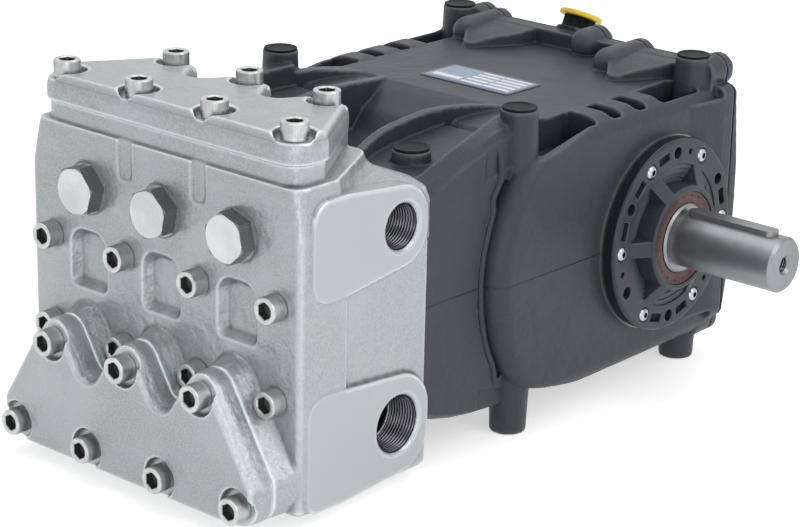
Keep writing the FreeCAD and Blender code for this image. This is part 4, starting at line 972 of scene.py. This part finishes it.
@dataclass
class FluidEnd:
    """Silver casting with its covers, screws, plugs and threaded side ports."""

    mouth_x: float = 122.0 * MM
    port_y: float = -233.5 * MM
    ports: tuple[tuple[str, float, float], ...] = (
        ("upper", 182.0 * MM, 15.15 * MM), ("lower", 46.5 * MM, 19.5 * MM))
    thread_pitch: float = 2.309 * MM
    thread_length: float = 21.8 * MM
    thread_depth: float = 1.15 * MM
    screws: tuple[tuple[str, Vector, int], ...] = (
        ("delivery_screws_front", UP, 4), ("delivery_screws_rear", UP, 3),
        ("suction_screws_lower", FRONT, 4), ("suction_screws_upper", FRONT, 3),
        ("head_bolts_upper", FRONT, 4), ("head_bolts_lower", FRONT, 4))
    voxel: float = 0.9 * MM
    passes: int = 3
    castings: tuple[tuple[str, int], ...] = (
        ("fluid_end_block", 150000), ("delivery_cover", 60000), ("suction_cover", 60000))

    def build(self, shop: Workshop) -> None:
        """Build the threads and the screws."""
        for side, tag in SIDES:
            for level, z, radius in self.ports:
                mouth = (side * self.mouth_x, self.port_y, z)
                InnerThread(f"port_thread_{level}_{tag}", mouth, RIGHT * -side, radius, self.thread_pitch,
                            self.thread_length, self.thread_depth, Slot.TURNED).build(shop)
        for node, axis, count in self.screws:
            SocketScrews(node, axis, count).build(shop)

    def dress(self, shop: Workshop) -> None:
        """Give the castings, plugs and washers their finishes."""
        for node, triangles in self.castings:
            SoftCasting(node, Slot.CAST, self.voxel, self.passes, triangles).build(shop)
        shop.dress(Slot.TURNED, "valve_plugs")
        shop.dress(Slot.CAST, "plug_washers")


@dataclass
class OilCap:
    """Filler cap: a yellow disc with a rounded rim on a ribbed black neck, tilted to the rear."""

    tilt_deg: float = 25.0
    base: Triple = (-20.0 * MM, 133.4 * MM, 222.2 * MM)
    columns: int = 96
    ribs: int = 12
    rib_depth: float = 1.2 * MM
    neck_rows: tuple[tuple[float, float, bool], ...] = (
        (11.6, 0.0, False), (12.5, 0.5, False), (12.5, 2.2, False), (12.5, 2.8, True), (12.5, 8.4, True),
        (12.5, 9.2, False))
    lid_r: float = 16.8 * MM
    lid_low: float = 8.8 * MM
    lid_high: float = 12.9 * MM
    lower_round: float = 1.1 * MM
    upper_round: float = 1.3 * MM
    rim: Pair = (3.2 * MM, 3.8 * MM)
    field_depth: float = 0.5 * MM

    def neck(self) -> Rows:
        """Radius and height of the neck, whose radius swings between its ribs."""
        wave = np.clip(3.0 * np.cos(self.ribs * turn_of(self.columns)), -1.0, 1.0)
        dip = self.rib_depth * 0.5 * (1.0 - wave)
        rows = [(r * MM - dip * ribbed, z * MM) for r, z, ribbed in self.neck_rows]
        return [(0.0, 0.0), *rows, (0.0, rows[-1][1])]

    def lid(self) -> Rows:
        """Radius and height of the disc, from the middle below to the middle above."""
        r, low, high, a = self.lid_r, self.lid_low, self.lid_high, np.linspace(0.0, 0.5 * math.pi, 6)
        inward, rise = 1.0 - np.sin(a), 1.0 - np.cos(a)
        under = zip(r - self.lower_round * inward, low + self.lower_round * rise)
        over = zip(r - self.upper_round * rise, high - self.upper_round * inward)
        top = high - self.field_depth
        return [(0.0, low), *under, *over, (r - self.rim[0], high), (r - self.rim[1], top), (0.0, top)]

    def build(self, shop: Workshop) -> None:
        """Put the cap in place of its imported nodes."""
        tilt = math.radians(self.tilt_deg)
        axis, base = Vector((0, math.sin(tilt), math.cos(tilt))), np.array([self.base])
        neck = creased(lathed("oil_cap_neck", axis, base, self.neck(), self.columns))
        shop.piece(neck, Slot.BLACK, "oil_cap_body")
        lid = creased(lathed("oil_cap_lid", axis, base, self.lid(), self.columns), 40.0)
        shop.piece(lid, Slot.YELLOW, "oil_cap_disc")


@dataclass
class DomedScrews:
    """Button heads of both bearing covers, with a hexagonal socket."""

    radius: float = 5.2 * MM
    height: float = 3.0 * MM
    flats: float = 3.9 * MM
    floor: float = 0.8 * MM
    sunk: float = 1.6 * MM
    columns: int = 72
    top_sine: float = 0.905
    angles: Pair = (0.0864 * 0.5 * math.pi, 0.72 * 0.5 * math.pi)

    def rows(self) -> Rows:
        """Radius and height, row by row, from the seat's middle to the socket's floor."""
        socket = hexagon(self.flats, self.columns)
        dome = [(self.radius * math.cos(a), self.height * math.sin(a) / self.top_sine)
                for a in np.linspace(*self.angles, 7)]
        top, lip = dome[-1][1], 0.58 * self.flats + 0.15 * MM
        return [(0.0, 0.0), (self.radius, 0.0), *dome, (lip, top), (socket, top - 0.25 * MM),
                (socket, self.floor), (0.0, self.floor - 0.2 * MM)]

    def build(self, shop: Workshop) -> None:
        """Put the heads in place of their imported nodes."""
        rows = self.rows()
        mouth = max(height for _, height in rows) - 0.15 * MM
        for side, tag in SIDES:
            node, axis = tag + "_cover_screws", RIGHT * side
            centres = round_shaft(side * (COVER_X - self.sunk), COVER_SCREWS_R, 6)
            mesh = lathed(node + "_domed", axis, centres, rows, self.columns)
            reach, height = from_axes(mesh, axis, centres)
            inside = (reach < SOCKET_REACH * self.flats) & (height < mouth)
            # Painted shade in the socket.
            keep_painted_light(mesh, np.where(inside, SOCKET_SHADE, 0.0))
            shop.piece(creased(mesh), Slot.ZINC, node)


@dataclass
class PowerEnd:
    """Dark crankcase with its covers, caps, parting line, seal and rating plate.

    Profiles and the ridge's line are written in millimetres.  A profile is a list of radius and
    height, from the face it stands on.
    """

    wall_x: float = 130.0 * MM
    neck_x: float = 115.5 * MM
    parting_z: float = 115.9 * MM
    bow_y: float = -24.0 * MM
    bow_r: float = 116.0 * MM
    bow_edge: float = 13.5 * MM
    head_y: float = -203.0 * MM
    groove_y: float = -146.0 * MM
    cover_y: float = -28.0 * MM
    parting: Triple = (1.0 * MM, 0.4 * MM, 0.3 * MM)
    ridge: Triple = (5.0 * MM, 2.4 * MM, 1.5 * MM)
    ridge_x: Triple = (111.0, 114.8, 115.3)
    ridge_line: tuple[Pair, ...] = (
        (-127.0, 216.0), (-125.8, 203.0), (-125.6, 188.5), (-129.4, 181.8), (-133.0, 175.5), (-132.5, 166.5),
        (-136.0, 155.0), (-139.8, 142.6), (-142.3, 127.8), (-142.7, 113.8), (-141.0, 95.2), (-136.8, 77.5),
        (-132.5, 66.5), (-127.5, 56.6), (-124.5, 44.0), (-123.5, 32.0))
    plate_corner: float = 3.5 * MM
    plate_edge: float = 0.1 * MM
    plate_top: float = 0.997
    cap_r: tuple[tuple[str, float], ...] = (("post_caps", 12.15 * MM), ("tray_caps", 12.4 * MM))
    cap_dish: float = 0.5 * MM
    tapped: tuple[float, float, float, float] = (4.25 * MM, 1.25 * MM, 8.5 * MM, 0.62 * MM)
    tapped_x: float = 142.3 * MM
    seal_x: float = 152.0 * MM
    seal_rows: tuple[Pair, ...] = (
        (25.47, -8.0), (25.47, -1.2), (26.0, -0.6), (26.6, -0.9), (27.4, -1.5), (29.5, -1.4), (32.0, -0.9),
        (32.8, -0.15), (33.4, 0.0), (34.0, -0.25), (34.15, -0.8), (34.15, -8.0))
    dots: int = 20
    dots_r: float = 31.0 * MM
    dots_depth: float = 1.3 * MM
    dots_first_deg: float = 4.0
    dot_rows: tuple[Pair, ...] = (
        (0.0, -0.5), (0.62, -0.5), (0.62, 0.35), (0.42, 0.55), (0.0, 0.6))
    dish_rows: tuple[Pair, ...] = (
        (38.0, -12.0), (38.0, -5.6), (41.2, -5.3), (41.8, -4.3), (44.6, -4.1), (45.2, -3.1), (48.2, -2.9),
        (48.8, -2.1), (51.4, -1.9), (52.4, -1.3), (52.8, -12.0))
    painted_dish_highlight: float = 0.8
    rear_y: float = 128.0 * MM
    rear_seats: tuple[Pair, ...] = (
        (-103.0, 103.3), (7.0, 104.3), (47.0, 101.0), (116.5, 103.3),
        (-116.5, -88.5), (-60.0, -88.5), (0.0, -88.5), (60.0, -88.5), (116.5, -88.5))
    posts: Triple = (110.5 * MM, 101.3 * MM, 232.0 * MM)
    tray: Triple = (81.0 * MM, -177.0 * MM, 200.0 * MM)
    firm_r: float = 17.0 * MM
    firm_reach: float = 60.0 * MM
    castings: tuple[tuple[str, float, int, int, Optional[Special]], ...] = (
        ("crankcase", 1.1 * MM, 2, 197000, None), ("rear_cover", 1.1 * MM, 3, 70000, None),
        ("drive_bearing_cover", 0.6 * MM, 3, 90000, Special.COVER),
        ("blind_bearing_cover", 0.6 * MM, 3, 90000, Special.COVER))

    def bead(self, shop: Workshop, name: str, path: Array, wall: Array,
             section: Triple) -> None:
        """Sweep a bead on the drive side and its mirror on the blind side.

        Args:
            shop: The workshop.
            name: Name of the pieces, before their side's.
            path: Array of (points, 3) on the drive side.
            wall: The wall's directions along the path.
            section: The bead's width, height and depth in the wall.
        """
        for side, tag in SIDES:
            mirror = np.array([side, 1.0, 1.0])
            mesh = grid_mesh(f"{name}_{tag}", swept_bead(path * mirror, wall * mirror, *section))
            shop.piece(capped(mesh), Slot.PAINT)

    def parting_line(self, shop: Workshop) -> None:
        """Casting's parting line along both sides, in two runs on each."""
        t = np.linspace(0.5 * math.pi, 0.0, 9)
        corner = np.array([self.wall_x - self.bow_edge, self.bow_y - self.bow_r + self.bow_edge])
        out = np.stack([np.cos(t), -np.sin(t)], 1)
        bow = np.concatenate([corner + self.bow_edge * out, [[self.wall_x, self.cover_y]]])
        neck = np.array([[self.neck_x, self.head_y], [self.neck_x, self.groove_y]])
        right = [[1.0, 0.0]]
        runs = ((neck, np.array(right * 2)), (bow, np.concatenate([out, right])))
        for number, (plan, away) in enumerate(runs, 1):
            path = np.column_stack([plan, np.full(len(plan), self.parting_z)])
            wall = np.column_stack([away, np.zeros(len(away))])
            self.bead(shop, f"parting_line_{number}", path, wall, self.parting)

    def neck_ridges(self, shop: Workshop) -> None:
        """Upright wavy ridge at the rear end of the neck's side, in front of the housing's bow."""
        last = len(self.ridge_line) - 1
        knots = [(self.ridge_x[min(i, last - i, 2)], *place) for i, place in enumerate(self.ridge_line)]
        path = smooth_path(np.array(knots) * MM)
        self.bead(shop, "neck_ridge", path, np.tile([1.0, 0.0, 0.0], (len(path), 1)), self.ridge)

    def nameplate(self, shop: Workshop) -> None:
        """Rating plate with rounded corners: its outline shrunk or kept at each level, going up."""
        low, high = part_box("nameplate")
        centre, half = 0.5 * (low + high), 0.5 * (high - low)
        straight_x, straight_y = half.x - self.plate_corner, half.y - self.plate_corner
        a = np.linspace(0.0, 0.5 * math.pi, 9) + 0.5 * math.pi * np.arange(4)[:, None]
        side_x, side_y = np.array([1, -1, -1, 1])[:, None], np.array([1, 1, -1, -1])[:, None]
        outline = np.stack([(side_x * straight_x + self.plate_corner * np.cos(a)).ravel(),
                            (side_y * straight_y + self.plate_corner * np.sin(a)).ravel()], 1)
        levels = ((0.0, low.z), (1.0, low.z), (1.0, high.z - self.plate_edge), (self.plate_top, high.z),
                  (0.0, high.z))
        rows = [np.column_stack([outline * share + (centre.x, centre.y), np.full(len(outline), z)])
                for share, z in levels]
        shop.piece(grid_mesh("nameplate_rounded", np.stack(rows), smooth=False), Slot.PLATE, "nameplate")

    def caps(self, shop: Workshop) -> None:
        """Black plugs on the posts and tray bosses, dished, with a rounded rim."""
        for node, radius in self.cap_r:
            low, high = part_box(node)
            top, middle_y = high.z - low.z, 0.5 * (low.y + high.y)
            reach_x, reach_y = high.x - radius, 0.5 * (high.y - low.y) - radius
            sides_y = (-1, 1) if reach_y > radius else (0,)
            places = [(x * reach_x, middle_y + y * reach_y, low.z) for x in (-1, 1) for y in sides_y]
            rows = [(0.0, 0.0), (radius - 0.3 * MM, 0.0), (radius - 0.2 * MM, 0.25 * MM), (radius, 0.5 * MM),
                    (radius, top - 0.6 * MM), (radius - 0.2 * MM, top - 0.2 * MM), (radius - 0.7 * MM, top),
                    (radius - 1.6 * MM, top), (radius - 2.2 * MM, top - 0.7 * self.cap_dish),
                    (0.5 * radius, top - self.cap_dish), (0.0, top - self.cap_dish)]
            mesh = lathed(node + "_dished", UP, np.array(places), rows, 64)
            shop.piece(creased(mesh, 40.0), Slot.BLACK, node)

    def tapped_holes(self, shop: Workshop) -> None:
        """Threads in the six tapped holes of each bearing cover."""
        for side, tag in SIDES:
            for number, mouth in enumerate(round_shaft(side * self.tapped_x, COVER_SCREWS_R, 6, 30.0), 1):
                # Near-black thread finish: painted shade in the holes.
                InnerThread(f"cover_thread_{tag}_{number}", mouth, RIGHT * -side, *self.tapped, Slot.BLACK,
                            finish=Special.SHADED_PAINT_THREAD, columns=40, steps=6).build(shop)

    def seal(self, shop: Workshop) -> None:
        """Shaft seal: a ring with a raised outer rim, a sloped face, a lip at the shaft, and small dots."""
        centre = on_shaft(self.seal_x)
        mesh = lathed("shaft_seal_formed", RIGHT, centre, in_mm(self.seal_rows), 128, ring=True)
        shop.piece(creased(mesh, 50.0), Slot.SEAL, "shaft_seal")
        studs = round_shaft(self.seal_x - self.dots_depth, self.dots_r, self.dots, self.dots_first_deg)
        shop.piece(lathed("seal_dots", RIGHT, studs, in_mm(self.dot_rows), 16), Slot.GASKET)

    def dish_steps(self, shop: Workshop) -> None:
        """Turned steps on the floor of the drive-side cover's dish, between its spokes."""
        mesh = lathed("dish_steps", RIGHT, on_shaft(COVER_X), in_mm(self.dish_rows), 160, ring=True)
        # A painted highlight lifts the whole dish floor.
        keep_painted_light(mesh, np.full(len(mesh.vertices), self.painted_dish_highlight))
        shop.piece(creased(mesh, 25.0), Slot.PAINT)

    def rear_screws(self, shop: Workshop) -> None:
        """Socket-head screws of the rear cover, four above the shaft's level and five below."""
        seats = np.array([(x * MM, self.rear_y, rise * MM + SHAFT_Z) for x, rise in self.rear_seats])
        SocketScrews("rear_screws", REAR, len(seats), 6.5 * MM, 8.0 * MM, 6.0 * MM, 4.0 * MM, teeth=44,
                     slot=Slot.ZINC, seats=seats).build(shop)

    def build(self, shop: Workshop) -> None:
        """Build the power end's pieces."""
        self.rear_screws(shop)
        self.dish_steps(shop)
        self.parting_line(shop)
        self.neck_ridges(shop)
        self.nameplate(shop)
        self.caps(shop)
        OilCap().build(shop)
        DomedScrews().build(shop)
        self.tapped_holes(shop)
        self.seal(shop)

    def dress(self, shop: Workshop) -> None:
        """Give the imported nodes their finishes, and keep the round bosses firm as the castings relax."""
        post_x, post_y, post_z = self.posts
        bosses = [(x, y, post_z) for x in (-post_x, post_x) for y in (-post_y, post_y)]
        tray_x, *rest = self.tray
        bosses += [(x, *rest) for x in (-tray_x, tray_x)]
        firm = tuple((2, centre, self.firm_r, self.firm_reach) for centre in bosses)
        for node, voxel, passes, triangles, finish in self.castings:
            SoftCasting(node, Slot.PAINT, voxel, passes, triangles, firm, finish).build(shop)
        shop.dress(Slot.GASKET, "rear_gasket")
        shop.dress(Slot.SHIM, "drive_cover_shims", "blind_cover_shims")


@dataclass
class DriveShaft:
    """Ground shaft with its key and the thread in its end."""

    mouth_x: float = 234.65 * MM
    hole_r: float = 5.1 * MM
    pitch: float = 1.75 * MM
    thread_length: float = 24.0 * MM
    thread_depth: float = 0.8 * MM

    def build(self, shop: Workshop) -> None:
        """Build the thread of the centre hole."""
        InnerThread("shaft_end_thread", (self.mouth_x, SHAFT_Y, SHAFT_Z), -RIGHT, self.hole_r, self.pitch,
                    self.thread_length, self.thread_depth, Slot.GROUND, Body.SHAFT, columns=48).build(shop)

    def dress(self, shop: Workshop) -> None:
        """Give the shaft and key their finish."""
        shop.dress(Slot.GROUND, "drive_shaft", "shaft_key")


# Studio


def facing(place: Vector, aim: Vector) -> Matrix:
    """Place and turn of something whose -Z axis looks at a point."""
    return Matrix.Translation(place) @ (aim - place).to_track_quat("-Z", "Y").to_matrix().to_4x4()


@dataclass(frozen=True)
class Lamp:
    """Soft rectangular lamp that faces a point of the pump."""

    name: str
    place: Triple
    size: Pair
    power: float
    aim: Triple = (0.0, -0.06, 0.12)

    def build(self) -> None:
        """Hang the lamp."""
        light = bpy.data.lights.new(self.name, "AREA")
        light.shape = "RECTANGLE"
        light.size, light.size_y = self.size
        light.energy = self.power
        placed(self.name, light, facing(Vector(self.place), Vector(self.aim)))


@dataclass
class Studio:
    """Pale floor, soft lamps, a plain world and the camera of the photograph."""

    azimuth: float = -40.7083
    elevation: float = 19.1616
    roll: float = 1.3583
    place: Triple = (1.101402, -1.371854, 0.678987)
    focal_px: float = 2495.737
    image_w: int = 800
    sensor: float = 36.0
    ambient: float = 0.5
    floor_reach: float = 6.0
    floor_z: float = -0.5 * MM
    floor_glow: float = 0.54
    lamps: tuple[Lamp, ...] = (
        Lamp("top_softbox", (-0.25, 0.10, 1.9), (2.0, 1.6), 11.5),
        Lamp("right_softbox", (1.5, 0.1, 1.3), (1.0, 1.4), 8.5),
        Lamp("front_softbox", (1.5, -1.6, 0.4), (1.2, 0.8), 5.5))

    def camera(self) -> None:
        """Camera from its azimuth, elevation and roll.

        Forward is (sin az cos el, cos az cos el, -sin el), right is (cos az, -sin az, 0), up is
        right x forward, and the roll turns right and up about forward.
        """
        az, el, roll = (math.radians(v) for v in (self.azimuth, self.elevation, self.roll))
        forward = Vector((math.sin(az) * math.cos(el), math.cos(az) * math.cos(el), -math.sin(el)))
        right = Vector((math.cos(az), -math.sin(az), 0.0))
        up = right.cross(forward)
        across = right * math.cos(roll) + up * math.sin(roll)
        above = up * math.cos(roll) - right * math.sin(roll)
        turn = Matrix((across, above, -forward)).transposed().to_4x4()
        data = bpy.data.cameras.new("photo_camera")
        data.sensor_width = self.sensor
        data.lens = self.sensor * self.focal_px / self.image_w
        where = Matrix.Translation(Vector(self.place)) @ turn
        bpy.context.scene.camera = placed("photo_camera", data, where)

    def floor(self) -> None:
        """White floor that keeps the pump's soft shadow."""
        x, y = np.meshgrid(*[np.linspace(-self.floor_reach, self.floor_reach, 5)] * 2)
        points = np.stack([x, y, np.full_like(x, self.floor_z)], 2)
        made = placed("floor", grid_mesh("floor", points, wrap_u=False))
        graph = Graph(bpy.data.materials.new("floor_white"))
        graph.feed({"Base Color": (0.92, 0.92, 0.92), "Roughness": 0.9, "Emission Color": (1.0, 1.0, 1.0),
                    "Emission Strength": graph.seen("Camera", "Glossy") * self.floor_glow})
        made.data.materials.append(graph.owner)

    def world(self) -> None:
        """World that is white where it is seen, and dimmer where it lights."""
        graph = Graph(bpy.data.worlds.new("studio"), "BACKGROUND")
        seen = graph.seen("Camera", "Glossy", "Transmission")
        inputs = {"Value": seen, "To Min": self.ambient, "To Max": 1.0}
        strength = graph.wire("ShaderNodeMapRange", 0, inputs=inputs)
        graph.feed({"Color": (1.0, 1.0, 1.0), "Strength": strength})
        bpy.context.scene.world = graph.owner

    def build(self) -> None:
        """Set up the studio."""
        self.camera()
        self.floor()
        self.world()
        for lamp in self.lamps:
            lamp.build()
        bpy.context.scene.view_settings.view_transform = "Standard"


def main() -> None:
    """Build the studio and the pump's sub-assemblies in order."""
    logging.basicConfig(level=logging.INFO, format="%(message)s")
    Studio().build()
    shop = Workshop()
    for part in (FluidEnd(), PowerEnd(), DriveShaft()):
        part.build(shop)
        part.dress(shop)
        LOG.info("%s is dressed", type(part).__name__)


if __name__ == "__main__":
    main()
